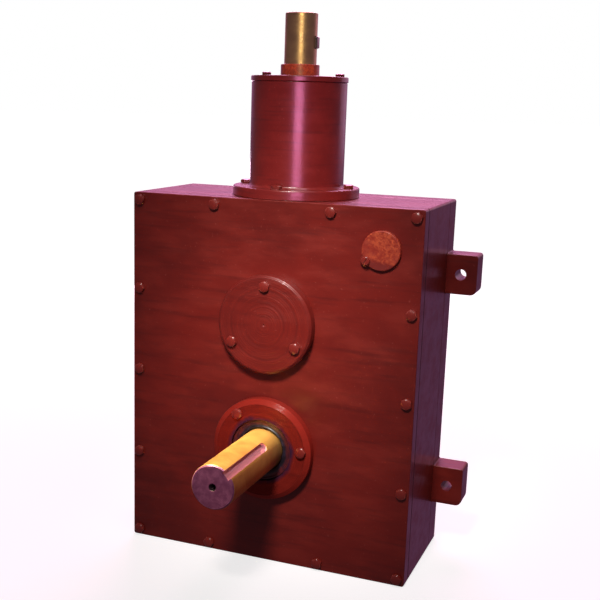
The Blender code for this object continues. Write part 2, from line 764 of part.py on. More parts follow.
def intermediate_shaft():
    seat = MID_BEARING_R[0]
    teeth_r = SPUR_MODULE * SPUR_PINION_TEETH / 2 - 1.6 * SPUR_MODULE
    profile = [
        (0, FRONT_BEARING_Y[0] - 0.002),
        (seat - 0.001, FRONT_BEARING_Y[0] - 0.002),
        (seat, FRONT_BEARING_Y[0] - 0.001),
        (seat, FRONT_BEARING_Y[1] + GAP),
        (0.024, FRONT_BEARING_Y[1] + GAP),
        (0.024, SPUR_FRONT_Y),
        (teeth_r, SPUR_FRONT_Y + 0.001),
        (teeth_r, SPUR_BACK_Y - 0.001),
        (0.022, SPUR_BACK_Y),
        (0.022, CROWN_FRONT_Y - 2 * GAP),
        (CROWN_SEAT_R, CROWN_FRONT_Y - 2 * GAP),
        (CROWN_SEAT_R, REAR_BEARING_Y[0] - 0.001),
        (seat, REAR_BEARING_Y[0] - 0.001),
        (seat, REAR_BEARING_Y[1]),
        (seat - 0.001, REAR_BEARING_Y[1] + 0.001),
        (0, REAR_BEARING_Y[1] + 0.001),
    ]
    shaft = add_object("intermediate_shaft", turned(profile, "Y", SEAT), "steel", (0, 0, MID_Z))
    gap_down = -90 + 180 / SPUR_PINION_TEETH
    outline = gear_outline(SPUR_PINION_TEETH, SPUR_MODULE, gap_down)
    join(shaft, prism(outline, "Y", SPUR_FRONT_Y - 0.001, SPUR_BACK_Y + 0.001))
    low, high = CROWN_FRONT_Y + 0.002, CROWN_BACK_Y + 0.004
    cut(shaft, keyway(0.0106, low - GAP, high + GAP, CROWN_SEAT_R - 0.005, CROWN_SEAT_R + 0.01))
    key = keyway(0.010, low, high, CROWN_SEAT_R - 0.0047, CROWN_SEAT_R + 0.003)
    add_object("crown_gear_key", key, "steel", (0, 0, MID_Z))


def crown_gear():
    hub, back = (0.040, CROWN_FRONT_Y), (0.061, CROWN_BACK_Y)
    rings = bevel_rings(CROWN_TEETH, CROWN_PITCH_R, 90, 2, hub, back)
    shape = lofted([ring_points(ring, "Y") for ring in rings])
    gear = add_object("crown_gear", shape, "gear_steel", (0, 0, MID_Z))
    join(gear, rod(0.031, CROWN_BACK_Y - 0.005, REAR_BEARING_Y[0] - 0.001 - GAP, "Y", SEAT))
    low, high = 0, REAR_BEARING_Y[0] + 0.01
    cut(gear, rod(CROWN_SEAT_R + 0.00035, low, high, "Y", SEAT))
    cut(gear, keyway(0.0106, low, high, 0, CROWN_SEAT_R + 0.0034))


def output_shaft():
    tip = FRONT_Y - OUTPUT_REACH
    seat = OUTPUT_BEARING_R[0]
    shoulder = 0.038
    profile = [
        (0, tip + 0.008),
        (0.0045, tip),
        (OUTPUT_R - 0.002, tip),
        (OUTPUT_R, tip + 0.002),
        (OUTPUT_R, FRONT_Y + 0.001),
        (seat, FRONT_Y + 0.001),
        (seat, FRONT_BEARING_Y[1] + GAP),
        (OUTPUT_SEAT_R, FRONT_BEARING_Y[1] + GAP),
        (OUTPUT_SEAT_R, SPUR_BACK_Y + GAP),
        (shoulder, SPUR_BACK_Y + GAP),
        (shoulder, REAR_BEARING_Y[0] - 0.006),
        (0.034, REAR_BEARING_Y[0] - GAP),
        (seat, REAR_BEARING_Y[0] - GAP),
        (seat, REAR_BEARING_Y[1]),
        (seat - 0.001, REAR_BEARING_Y[1] + 0.001),
        (0, REAR_BEARING_Y[1] + 0.001),
    ]
    shaft = add_object("output_shaft", turned(profile, "Y", SEAT), "steel", (0, 0, OUTPUT_Z))
    low, high = SPUR_FRONT_Y + 0.002, SPUR_BACK_Y - 0.002
    slot = keyway(0.0186, low - GAP, high + GAP, OUTPUT_SEAT_R - 0.007, OUTPUT_SEAT_R + 0.01)
    cut(shaft, slot, output_keyway(tip))
    key = keyway(0.018, low, high, OUTPUT_SEAT_R - 0.0067, OUTPUT_SEAT_R + 0.004)
    add_object("output_gear_key", key, "steel", (0, 0, OUTPUT_Z))


def output_keyway(tip):
    """The open-ended keyway in the output shaft's end, with its milled round inner end."""
    half = OUTPUT_KEYWAY_W / 2
    end = tip + OUTPUT_KEYWAY_LENGTH - half
    outline = [(-half, tip - 0.01), (half, tip - 0.01), *arc((0, end), half, 0, 180, 6)]
    slot = prism(outline, "Z", OUTPUT_R - OUTPUT_KEYWAY_DEPTH, OUTPUT_R + 0.01)
    turn = math.radians(90 - OUTPUT_KEYWAY_TURN)
    for vert in slot.verts:
        x, z = vert.co.x, vert.co.z
        vert.co.x = x * math.cos(turn) + z * math.sin(turn)
        vert.co.z = z * math.cos(turn) - x * math.sin(turn)
    return slot


def output_gear():
    outline = gear_outline(SPUR_GEAR_TEETH, SPUR_MODULE, 90, 2)
    shape = prism(outline, "Y", SPUR_FRONT_Y, SPUR_BACK_Y)
    gear = add_object("output_gear", shape, "gear_steel", (0, 0, OUTPUT_Z))
    hub_front = FRONT_BEARING_Y[1] + 0.001
    join(gear, rod(0.050, hub_front, SPUR_BACK_Y - 0.01, "Y", SEAT))
    recess = 0.007
    front = (SPUR_FRONT_Y - 0.02, SPUR_FRONT_Y + recess)
    back = (SPUR_BACK_Y - recess, SPUR_BACK_Y + 0.01)
    for low, high in (front, back):
        cut(gear, turned([(0.056, low), (0.106, low), (0.106, high), (0.056, high)], "Y"))
    low, high = hub_front - 0.01, SPUR_BACK_Y + 0.01
    cut(gear, rod(OUTPUT_SEAT_R + 0.0004, low, high, "Y", ROUND))
    cut(gear, keyway(0.0186, low, high, 0, OUTPUT_SEAT_R + 0.0044))


# Assembly -------------------------------------------------------------------------------


def bearings():
    output, mid = (0, 0, OUTPUT_Z), (0, 0, MID_Z)
    bearing("output_front_bearing", "Y", FRONT_BEARING_Y, OUTPUT_BEARING_R, 1, output)
    bearing("output_rear_bearing", "Y", REAR_BEARING_Y, OUTPUT_BEARING_R, -1, output)
    bearing("intermediate_front_bearing", "Y", FRONT_BEARING_Y, MID_BEARING_R, 1, mid)
    bearing("intermediate_rear_bearing", "Y", REAR_BEARING_Y, MID_BEARING_R, -1, mid)
    bearing("input_lower_bearing", "Z", LOWER_BEARING_Z, INPUT_BEARING_R, -1)
    bearing("input_upper_bearing", "Z", UPPER_BEARING_Z, INPUT_BEARING_R, 1)


def bolts():
    cap_seat = CAP_FRONT_Y - GAP
    for i, (x, z) in enumerate(cover_bolt_places(), 1):
        hex_bolt(f"cover_bolt_{i:02d}", (x, FRONT_Y - GAP, z), "Y", -1, 0.040)
    for i, (x, z) in enumerate(raised(mid_cap_bolt_places(), MID_Z), 1):
        hex_bolt(f"intermediate_cap_bolt_{i}", (x, cap_seat, z), "Y", -1, CAP_T + 0.012)
    for i, (x, z) in enumerate(raised(output_cap_bolt_places(), OUTPUT_Z), 1):
        hex_bolt(f"output_cap_bolt_{i}", (x, cap_seat, z), "Y", -1, CAP_T + 0.012)
    flange_top = CASING_H + GAP + FLANGE_T
    for i, (x, y) in enumerate(flange_bolt_places(), 1):
        hex_bolt(f"flange_bolt_{i}", (x, y, flange_top + GAP), "Z", 1, FLANGE_T + 0.012)


def main():
    for leftover in list(bpy.data.objects):
        bpy.data.objects.remove(leftover, do_unlink=True)
    add_materials()
    casing_frame()
    back_plate()
    front_cover()
    cover_gasket()
    bearing_caps()
    filler_cover()
    drain_plug()
    input_housing()
    input_top_cap()
    input_shaft()
    bevel_pinion()
    intermediate_shaft()
    crown_gear()
    output_shaft()
    output_gear()
    bearings()
    bolts()


main()
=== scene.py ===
"""The looks of the right-angle gearbox: painted casing, turned steel shafts, studio and camera."""

import json
import math
import random

import bmesh
import bpy
from mathutils import Matrix, Vector


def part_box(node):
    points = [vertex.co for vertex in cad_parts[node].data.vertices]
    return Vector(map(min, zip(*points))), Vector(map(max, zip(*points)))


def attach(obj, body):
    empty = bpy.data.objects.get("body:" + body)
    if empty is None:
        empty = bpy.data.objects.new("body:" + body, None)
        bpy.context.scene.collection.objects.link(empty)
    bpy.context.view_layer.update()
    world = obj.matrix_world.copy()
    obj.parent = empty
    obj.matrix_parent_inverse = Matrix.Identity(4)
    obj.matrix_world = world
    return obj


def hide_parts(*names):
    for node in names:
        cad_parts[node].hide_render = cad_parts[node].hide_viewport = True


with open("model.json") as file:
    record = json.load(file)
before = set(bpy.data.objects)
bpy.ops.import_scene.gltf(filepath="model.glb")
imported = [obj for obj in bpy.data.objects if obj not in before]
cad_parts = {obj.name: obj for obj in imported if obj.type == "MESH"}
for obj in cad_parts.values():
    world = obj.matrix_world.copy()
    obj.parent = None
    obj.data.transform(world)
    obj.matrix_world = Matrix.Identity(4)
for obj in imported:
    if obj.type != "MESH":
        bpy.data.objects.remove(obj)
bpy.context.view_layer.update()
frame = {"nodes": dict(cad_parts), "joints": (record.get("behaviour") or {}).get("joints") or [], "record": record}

# Places read from the frame -------------------------------------------------------------

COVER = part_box("front_cover")
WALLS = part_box("casing_frame")
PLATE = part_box("back_plate")
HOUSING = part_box("input_housing")
TOP_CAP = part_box("input_top_cap")
INPUT_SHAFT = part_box("input_shaft")
OUTPUT_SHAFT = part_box("output_shaft")
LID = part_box("filler_cover")

JOINTS = {joint["name"]: joint for joint in frame["joints"]}
OUTPUT_Z = JOINTS["output_spin"]["pos_m"][2]
MID_Z = JOINTS["intermediate_spin"]["pos_m"][2]
PIVOT = Vector(JOINTS["filler_cover_swing"]["pos_m"])

CASING_W = COVER[1].x - COVER[0].x
CASING_H = COVER[1].z
FRONT_Y = COVER[0].y

# Sizes the frame doesn't state ----------------------------------------------------------

GAP = 0.0003
CORNER_R = 0.003
BOLT_HEAD_R = 0.0075
BOLT_HEAD_H = 0.0055
FILLER_HOLE = Vector((0.148, 0, 0.439))
FILLER_HOLE_R = 0.015
BEARING_SEATS = ((OUTPUT_Z, 0.0479), (MID_Z, 0.0364))
LUG_XS = (-0.2195, 0.2195)
LUG_ZS = (0.096, 0.395)
LUG_H = 0.054
LUG_HOLE_R = 0.0075
BOLT_SHANK_R = 0.004
BOLT_HOLE_R = 0.0043
SCREW_HOLE_R = 0.0033
THROUGH = 0.01  # how far a cutter reaches past what it cuts

OUTPUT_R = 0.0285
KEYWAY_W = 0.012
KEYWAY_DEPTH = 0.0055
KEYWAY_LENGTH = 0.118
KEYWAY_TURN = 45
INPUT_R = 0.02125
COLLAR_R = 0.0255
COLLAR_TOP_Z = 0.663

FINE = 128
AXES = {"X": Vector((1, 0, 0)), "Y": Vector((0, 1, 0)), "Z": Vector((0, 0, 1))}


# Meshes ---------------------------------------------------------------------------------


def on_axis(axis, across, up, along):
    """A point from its distance along an axis and its two coordinates across it."""
    if axis == "Z":
        return (across, up, along)
    if axis == "Y":
        return (across, along, up)
    return (along, across, up)


def rounded(corners, steps=4, closed=True):
    """Turns (u, v, radius) corners into (u, v) points, with an arc at each rounded corner."""
    count = len(corners)
    points = []
    for i, (u, v, radius) in enumerate(corners):
        corner = Vector((u, v))
        if radius == 0 or (not closed and i in (0, count - 1)):
            points.append((u, v))
            continue
        before = Vector(corners[i - 1][:2]) - corner
        after = Vector(corners[(i + 1) % count][:2]) - corner
        half = before.angle(after) / 2
        reach = min(radius / math.tan(half), 0.49 * before.length, 0.49 * after.length)
        inward = (before.normalized() + after.normalized()).normalized()
        centre = corner + inward * (reach / math.cos(half))
        start = corner + before.normalized() * reach - centre
        sweep = start.angle_signed(corner + after.normalized() * reach - centre)
        for step in range(steps + 1):
            angle = -sweep * step / steps
            turn = Matrix.Rotation(angle, 2)
            points.append(tuple(centre + turn @ start))
    return points


def turned(profile, axis="Z", sides=FINE, centre=(0, 0, 0)):
    """Turns (radius, height) points about an axis. A profile off the axis closes to a ring."""
    shape = bmesh.new()
    points = [shape.verts.new(on_axis(axis, radius, 0, height)) for radius, height in profile]
    ends = list(zip(points, points[1:]))
    if profile[0][0] > 1e-7:
        ends.append((points[-1], points[0]))
    edges = [shape.edges.new(pair) for pair in ends]
    bmesh.ops.spin(
        shape, geom=points + edges, cent=(0, 0, 0), axis=AXES[axis], angle=math.tau, steps=sides
    )
    bmesh.ops.remove_doubles(shape, verts=shape.verts, dist=1e-7)
    bmesh.ops.recalc_face_normals(shape, faces=shape.faces)
    bmesh.ops.translate(shape, verts=shape.verts, vec=centre)
    return shape


def rod(radius, low, high, axis="Z", sides=64, centre=(0, 0, 0)):
    return turned([(0, low), (radius, low), (radius, high), (0, high)], axis, sides, centre)


def prism(outline, axis, low, high):
    """Extrudes a flat outline of (across, up) points along an axis."""
    shape = bmesh.new()
    corners = [shape.verts.new(on_axis(axis, across, up, low)) for across, up in outline]
    extruded = bmesh.ops.extrude_face_region(shape, geom=[shape.faces.new(corners)])["geom"]
    moved = [item for item in extruded if isinstance(item, bmesh.types.BMVert)]
    bmesh.ops.translate(shape, verts=moved, vec=on_axis(axis, 0, 0, high - low))
    bmesh.ops.recalc_face_normals(shape, faces=shape.faces)
    return shape


def arc(centre, radius, angles):
    """The points at the given angles on a circle."""
    return [(centre[0] + radius * math.cos(a), centre[1] + radius * math.sin(a)) for a in angles]


def rectangle(half_width, low, high):
    """The corners of a rectangle that is centred across and runs from low to high."""
    return [(-half_width, low), (half_width, low), (half_width, high), (-half_width, high)]


def to_object(name, shape):
    mesh = bpy.data.meshes.new(name)
    shape.to_mesh(mesh)
    shape.free()
    mesh.shade_smooth()
    piece = bpy.data.objects.new(name, mesh)
    bpy.context.scene.collection.objects.link(piece)
    return piece


def applied(piece):
    """Applies the piece's modifiers and returns its new mesh."""
    bpy.context.view_layer.update()
    graph = bpy.context.evaluated_depsgraph_get()
    mesh = bpy.data.meshes.new_from_object(piece.evaluated_get(graph))
    piece.modifiers.clear()
    piece.data = mesh
    mesh.name = piece.name
    return mesh


def settle(piece, angle=30):
    """Applies the piece's modifiers and marks the edges sharper than the angle."""
    mesh = applied(piece)
    mesh.shade_smooth()
    mesh.set_sharp_from_angle(angle=math.radians(angle))
    return piece


def lathed(name, profile, axis="Z", steps=4, closed=True, sides=FINE):
    """A piece turned about an axis from a profile of (radius, height, rounding) corners."""
    return settle(to_object(name, turned(rounded(profile, steps, closed), axis, sides)))


def soften(piece, radius, segments):
    """Rounds the piece's sharp edges."""
    bevel = piece.modifiers.new("edges", "BEVEL")
    bevel.width = radius
    bevel.segments = segments
    bevel.limit_method = "ANGLE"
    bevel.angle_limit = math.radians(50)
    bevel.use_clamp_overlap = True
    return settle(piece, 45)


def cut(piece, *shapes):
    """Cuts each shape away in turn and applies the result."""
    for shape in shapes:
        tool = to_object("tool", shape)
        tool.location = piece.location
        boolean = piece.modifiers.new("cut", "BOOLEAN")
        boolean.operation = "DIFFERENCE"
        boolean.object = tool
        settle(piece)
        bpy.data.objects.remove(tool, do_unlink=True)
    return piece


def even_out(piece):
    """Weights the normals by face area, so that a flat with rounded edges shades flat."""
    piece.modifiers.new("flats", "WEIGHTED_NORMAL").keep_sharp = True
    applied(piece)


def finished(piece, body, material, slot, *nodes):
    """Gives the piece its material and its body, and hides the CAD nodes it stands for."""
    even_out(piece)
    piece.data.materials.clear()
    piece.data.materials.append(material)
    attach(piece, body)
    if nodes:
        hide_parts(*nodes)
    return piece


# Materials ------------------------------------------------------------------------------


class Shader:
    """A Principled material under construction, with short names for the nodes it needs."""

    def __init__(self, name, **settings):
        self.material = bpy.data.materials.new(name)
        self.material.use_nodes = True
        self.tree = self.material.node_tree
        self.surface = self.tree.nodes["Principled BSDF"]
        for socket, value in settings.items():
            self.surface.inputs[socket.replace("_", " ")].default_value = value
        self.position = self.node("ShaderNodeTexCoord").outputs["Object"]

    def node(self, kind, **settings):
        made = self.tree.nodes.new(kind)
        for name, value in settings.items():
            setattr(made, name, value)
        return made

    def set(self, socket, value):
        """Links a socket, or fills it with a constant."""
        if isinstance(value, bpy.types.NodeSocket):
            self.tree.links.new(value, socket)
        else:
            socket.default_value = value

    def maths(self, operation, first, second=0.0, clamp=False):
        made = self.node("ShaderNodeMath", operation=operation, use_clamp=clamp)
        self.set(made.inputs[0], first)
        self.set(made.inputs[1], second)
        return made.outputs[0]

    def stretched(self, x, y, z):
        """The position, scaled along each axis."""
        made = self.node("ShaderNodeMapping")
        made.inputs["Scale"].default_value = (x, y, z)
        self.set(made.inputs["Vector"], self.position)
        return made.outputs[0]

    def noise(self, scale, detail=3.0, roughness=0.55, vector=None, warp=0.0):
        made = self.node("ShaderNodeTexNoise")
        made.inputs["Scale"].default_value = scale
        made.inputs["Detail"].default_value = detail
        made.inputs["Roughness"].default_value = roughness
        made.inputs["Distortion"].default_value = warp
        self.set(made.inputs["Vector"], vector if vector is not None else self.position)
        return made.outputs["Fac"]

    def span(self, value, low, high, out_low=0.0, out_high=1.0):
        """Maps low..high to out_low..out_high, with soft ends."""
        made = self.node("ShaderNodeMapRange", interpolation_type="SMOOTHSTEP")
        self.set(made.inputs["Value"], value)
        ends = {"From Min": low, "From Max": high, "To Min": out_low, "To Max": out_high}
        for name, number in ends.items():
            made.inputs[name].default_value = number
        return made.outputs["Result"]

    def blend(self, share, first, second):
        made = self.node("ShaderNodeMix", data_type="RGBA")
        self.set(made.inputs["Factor"], share)
        for socket, value in ((made.inputs[6], first), (made.inputs[7], second)):
            self.set(socket, value if isinstance(value, bpy.types.NodeSocket) else (*value, 1))
        return made.outputs[2]

    def blend_value(self, share, first, second):
        made = self.node("ShaderNodeMix", data_type="FLOAT")
        self.set(made.inputs["Factor"], share)
        self.set(made.inputs[2], first)
        self.set(made.inputs[3], second)
        return made.outputs[0]

    def bump(self, height, distance, strength=1.0, under=None):
        made = self.node("ShaderNodeBump")
        made.inputs["Strength"].default_value = strength
        made.inputs["Distance"].default_value = distance
        self.set(made.inputs["Height"], height)
        if under is not None:
            self.set(made.inputs["Normal"], under)
        return made.outputs[0]

    def edges(self, radius):
        """1 on a convex or concave edge within the radius, 0 on the flats."""
        soft = self.node("ShaderNodeBevel", samples=4)
        soft.inputs["Radius"].default_value = radius
        plain = self.node("ShaderNodeNewGeometry").outputs["Normal"]
        dot = self.node("ShaderNodeVectorMath", operation="DOT_PRODUCT")
        self.set(dot.inputs[0], soft.outputs[0])
        self.set(dot.inputs[1], plain)
        return self.span(dot.outputs["Value"], 0.985, 0.90)

    def radius_from(self, axis):
        """The distance from the axis through the piece's own origin."""
        flat = self.node("ShaderNodeVectorMath", operation="MULTIPLY")
        self.set(flat.inputs[0], self.position)
        flat.inputs[1].default_value = [1 - part for part in AXES[axis]]
        length = self.node("ShaderNodeVectorMath", operation="LENGTH")
        self.set(length.inputs[0], flat.outputs[0])
        return length.outputs["Value"]

    def finish(self, color, roughness, normal, metallic=None):
        """Links what the surface shows and returns the material."""
        links = {"Base Color": color, "Roughness": roughness, "Normal": normal, "Metallic": metallic}
        for socket, value in links.items():
            if value is not None:
                self.set(self.surface.inputs[socket], value)
        if self.surface.inputs["Coat Weight"].default_value > 0:
            self.set(self.surface.inputs["Coat Normal"], normal)
        return self.material


SHADED_MAROON = (0.085, 0.009, 0.008)
DARK_MAROON = (0.140, 0.012, 0.009)
MAROON = (0.200, 0.015, 0.010)
BRIGHT_MAROON = (0.290, 0.024, 0.014)
# a painted highlight on a cap's rim, which also stands for worn paint
RIM_WEAR_AND_HIGHLIGHT = (0.42, 0.032, 0.020)
# pale chipped paint, also used for a painted highlight along the edges
CHIPPED_AND_EDGE_HIGHLIGHT = (0.46, 0.110, 0.085)
# dark grease, whose violet tint is a painted sheen
GREASE_AND_VIOLET_SHEEN = (0.045, 0.014, 0.040)
DEEP_ORANGE = (0.33, 0.028, 0.013)
LIGHT_ORANGE = (0.56, 0.084, 0.026)
RED_PRIMER = (0.30, 0.024, 0.014)
PRIMER_SPECKS = (0.16, 0.012, 0.010)
RUST = (0.20, 0.085, 0.04)
# a painted pink reflection on the keyway floor
KEYWAY_PAINTED_REFLECTION = (0.56, 0.27, 0.42)
# a painted violet reflection on the output shaft's end face
END_FACE_PAINTED_REFLECTION = ((0.21, 0.055, 0.145), (0.36, 0.115, 0.25))
FACE_GROOVES = (0.15, 0.045, 0.105)
# painted shade inside a centre drilling
DRILLING_PAINTED_SHADE = (0.03, 0.014, 0.018)


def enamel(
    name, turned_about=None, lift=0.0, chips=0.35, edge_wear_highlight=0.55, gloss=0.35, haze=0.14, shine=0.45,
    streaked=(0.18, 1.0, 2.2), grease_sheen_to=0.0, highlight_rim_from=0.0
):
    """Red-oxide gloss enamel brushed over a mottled casting.

    lift adds bright patches, chips is the share of pale specks and edge_wear_highlight that of
    lightened edges, which are worn paint and a painted highlight in one. gloss and haze are the
    clear coat's weight and roughness, and shine the specular level under it. streaked scales
    the streaks along each axis. turned_about gives the axis of lathe marks that show through.
    About it, dark grease with a painted violet sheen lies within the radius grease_sheen_to,
    and outside highlight_rim_from the paint is lightened to a bright red, a painted highlight
    on the rim that also stands for worn paint.
    """
    paint = Shader(name, Coat_Weight=gloss, Coat_Roughness=haze, Specular_IOR_Level=shine)
    clouds = paint.noise(6.0, 4.0, 0.6, warp=0.4)
    patches = paint.noise(30.0, 5.0, 0.6, paint.stretched(0.5, 1.0, 1.5))
    streaks = paint.noise(60.0, 3.0, 0.6, paint.stretched(*streaked))
    specks = paint.noise(260.0, 3.0, 0.6)
    color = paint.blend(paint.span(clouds, 0.28, 0.62), DARK_MAROON, MAROON)
    bright = paint.span(patches, 0.40 - lift, 0.74 - lift, 0.0, 0.5)
    color = paint.blend(bright, color, BRIGHT_MAROON)
    color = paint.blend(paint.span(streaks, 0.50, 0.74, 0.0, 0.45), color, SHADED_MAROON)
    color = paint.blend(paint.span(specks, 0.64, 0.76, 0.0, chips), color, CHIPPED_AND_EDGE_HIGHLIGHT)
    # lightened edges: worn paint, and a painted highlight along every edge
    broken = paint.span(paint.noise(90.0), 0.40, 0.62)
    worn = paint.maths("MULTIPLY", paint.edges(0.0016), broken, True)
    color = paint.blend(paint.maths("MULTIPLY", worn, edge_wear_highlight), color, CHIPPED_AND_EDGE_HIGHLIGHT)

    orange_peel = paint.noise(420.0, 2.0, 0.5)
    brushing = paint.noise(150.0, 3.0, 0.6, paint.stretched(0.12, 1.0, 1.0))
    casting = paint.noise(45.0, 4.0, 0.6)
    normal = paint.bump(casting, 0.0006, 0.30)
    normal = paint.bump(brushing, 0.00022, 0.40, normal)
    normal = paint.bump(orange_peel, 0.00012, 0.45, normal)
    roughness = paint.span(patches, 0.35, 0.75, 0.30, 0.48)
    roughness = paint.maths("ADD", roughness, paint.maths("MULTIPLY", worn, 0.2), True)
    if turned_about:
        radius = paint.radius_from(turned_about)
        along_radius = paint.node("ShaderNodeCombineXYZ")
        paint.set(along_radius.inputs[0], radius)
        marks = paint.noise(230.0, 3.0, 0.7, along_radius.outputs[0])
        rings = paint.span(marks, 0.36, 0.64, -1.0, 1.0)
        strength = paint.span(paint.noise(24.0), 0.30, 0.60, 0.35, 1.0)
        lathe = paint.maths("MULTIPLY", rings, strength)
        normal = paint.bump(lathe, 0.00016, 0.8, normal)
        color = paint.blend(paint.span(lathe, 0.1, 1.0, 0.0, 0.20), color, BRIGHT_MAROON)
        color = paint.blend(paint.span(lathe, -0.1, -1.0, 0.0, 0.35), color, SHADED_MAROON)
        # dark grease about the hole; its violet tint is a painted sheen
        if grease_sheen_to:
            ragged = paint.maths("MULTIPLY", paint.noise(70.0, 4.0), 0.012)
            edge = paint.maths("ADD", radius, ragged)
            greasy = paint.span(edge, grease_sheen_to + 0.010, grease_sheen_to + 0.002)
            color = paint.blend(greasy, color, GREASE_AND_VIOLET_SHEEN)
            roughness = paint.blend_value(greasy, roughness, 0.24)
        # outside the rim radius the paint turns bright red: a painted highlight on the chamfered rim, also
        # standing for worn paint
        if highlight_rim_from:
            rim_highlight = paint.span(radius, highlight_rim_from - 0.0005, highlight_rim_from + 0.0005, 0.0, 0.5)
            color = paint.blend(rim_highlight, color, RIM_WEAR_AND_HIGHLIGHT)
            paint.surface.inputs["Specular Tint"].default_value = (1.0, 0.35, 0.28, 1)
    return paint.finish(color, roughness, normal)


def orange_primer(name, centre, gloss=0.15, tone=1.0):
    """Mottled orange primer, turning to maroon at the rim below the centre: a painted shade along the lower rim.

    tone scales both of its oranges.
    """
    paint = Shader(name, Coat_Weight=gloss, Coat_Roughness=0.3)
    blotches = paint.noise(190.0, 4.0, 0.65, warp=0.6)
    broad = paint.noise(70.0, 3.0, 0.6, warp=0.3)
    deep, light = ([tone * part for part in color] for color in (DEEP_ORANGE, LIGHT_ORANGE))
    color = paint.blend(paint.span(blotches, 0.36, 0.62), deep, light)
    color = paint.blend(paint.span(broad, 0.42, 0.66, 0.0, 0.75), color, RED_PRIMER)
    specks = paint.span(paint.noise(600.0, 3.0), 0.56, 0.70, 0.0, 0.6)
    color = paint.blend(specks, color, PRIMER_SPECKS)
    # below a slanted line under the centre the primer turns to maroon: a painted shade along the lower rim
    axis = paint.node("ShaderNodeVectorMath", operation="DOT_PRODUCT")
    paint.set(axis.inputs[0], paint.position)
    lean = 0.22
    axis.inputs[1].default_value = (lean, 0.0, 1.0)
    ragged = paint.maths("MULTIPLY", paint.noise(120.0, 4.0), 0.012)
    height = paint.maths("ADD", axis.outputs["Value"], ragged)
    low = lean * centre[0] + centre[2] - 0.0105
    color = paint.blend(paint.span(height, low, low + 0.006), MAROON, color)
    normal = paint.bump(blotches, 0.0003, 0.6)
    normal = paint.bump(paint.noise(1500.0, 2.0), 0.0001, 0.5, normal)
    return paint.finish(color, paint.span(blotches, 0.3, 0.7, 0.42, 0.62), normal)


def turned_steel(name, axis, warm, dark, rough, metallic, face_from=None):
    """Machined steel under a warm film of oil, with fine lathe marks.

    face_from is the place along the axis below which the coarsely turned end face starts,
    coloured with a painted violet reflection. It is given for the output shaft only, whose
    keyway floor carries a painted pink reflection and whose centre drilling a painted shade.
    """
    steel = Shader(name, Metallic=metallic, Anisotropic=0.25)
    parts = steel.node("ShaderNodeSeparateXYZ")
    steel.set(parts.inputs[0], steel.position)
    squeeze = {"Y": (0.3, 3.0, 0.3), "Z": (0.3, 0.3, 3.0)}[axis]
    bands = steel.noise(45.0, 4.0, 0.6, steel.stretched(*squeeze))
    stains = steel.noise(26.0, 4.0, 0.6, warp=0.6)
    color = steel.blend(steel.span(stains, 0.34, 0.70), dark, warm)
    bright = [min(1.0, 1.25 * part) for part in warm]
    color = steel.blend(steel.span(bands, 0.50, 0.78, 0.0, 0.22), color, bright)
    rust = steel.span(steel.noise(240.0, 5.0, 0.7), 0.64, 0.76, 0.0, 0.30)
    color = steel.blend(rust, color, RUST)
    fine = steel.maths("SINE", steel.maths("MULTIPLY", parts.outputs[axis], 9000.0))
    radius = steel.radius_from(axis)
    rings = steel.maths("SINE", steel.maths("MULTIPLY", radius, 3600.0))
    roughness = steel.span(bands, 0.3, 0.7, rough - 0.04, rough + 0.08)
    normal = steel.bump(bands, 0.00004, 0.5)
    normal = steel.bump(fine, 0.00001, 0.5, normal)
    metal = metallic
    if face_from is not None:
        # within the turned radius, on the keyway floor and under the end face: a painted pink reflection
        inside = steel.span(radius, OUTPUT_R - 0.0004, OUTPUT_R - 0.0012)
        color = steel.blend(steel.maths("MULTIPLY", inside, 0.8), color, KEYWAY_PAINTED_REFLECTION)
        # the end face: a painted violet reflection, mottled, with darker turned rings over it
        face = steel.span(parts.outputs[axis], face_from + 0.0006, face_from)
        mottle = steel.noise(110.0, 4.0, 0.6)
        painted_reflection = steel.blend(steel.span(mottle, 0.35, 0.7), *END_FACE_PAINTED_REFLECTION)
        painted_reflection = steel.blend(steel.span(rings, -1.0, 1.0, 0.0, 0.45), painted_reflection, FACE_GROOVES)
        color = steel.blend(face, color, painted_reflection)
        face = steel.maths("MAXIMUM", face, inside)
        # painted shade inside the centre drilling
        drilled = steel.span(radius, 0.0052, 0.0046)
        color = steel.blend(drilled, color, DRILLING_PAINTED_SHADE)
        roughness = steel.blend_value(face, roughness, 0.42)
        metal = steel.blend_value(face, metallic, 0.35)
        normal = steel.bump(steel.maths("MULTIPLY", rings, face), 0.00006, 0.8, normal)
    return steel.finish(color, roughness, normal, metal)


def plain_steel(name, color, rough):
    """Ground or hobbed steel of an inner piece, with an oil film and fine scratches."""
    steel = Shader(name, Metallic=1.0)
    film = steel.noise(45.0, 4.0, 0.6)
    scratches = steel.noise(500.0, 3.0, 0.6, steel.stretched(0.15, 1.0, 1.0))
    tint = steel.blend(steel.span(film, 0.35, 0.7), color, [part * 0.72 for part in color])
    normal = steel.bump(scratches, 0.00003, 0.6)
    worn = steel.blend(steel.edges(0.0006), tint, [min(1.0, part * 1.5) for part in color])
    return steel.finish(worn, steel.span(film, 0.3, 0.7, rough - 0.06, rough + 0.12), normal)


def oily_rubber(name):
    rubber = Shader(name, Coat_Weight=0.2, Coat_Roughness=0.3)
    grease = rubber.noise(120.0, 4.0, 0.6, warp=0.5)
    dark, pale = (0.012, 0.010, 0.016), (0.040, 0.026, 0.050)
    color = rubber.blend(rubber.span(grease, 0.45, 0.65), dark, pale)
    normal = rubber.bump(grease, 0.0004, 0.6)
    return rubber.finish(color, rubber.span(grease, 0.3, 0.7, 0.25, 0.5), normal)


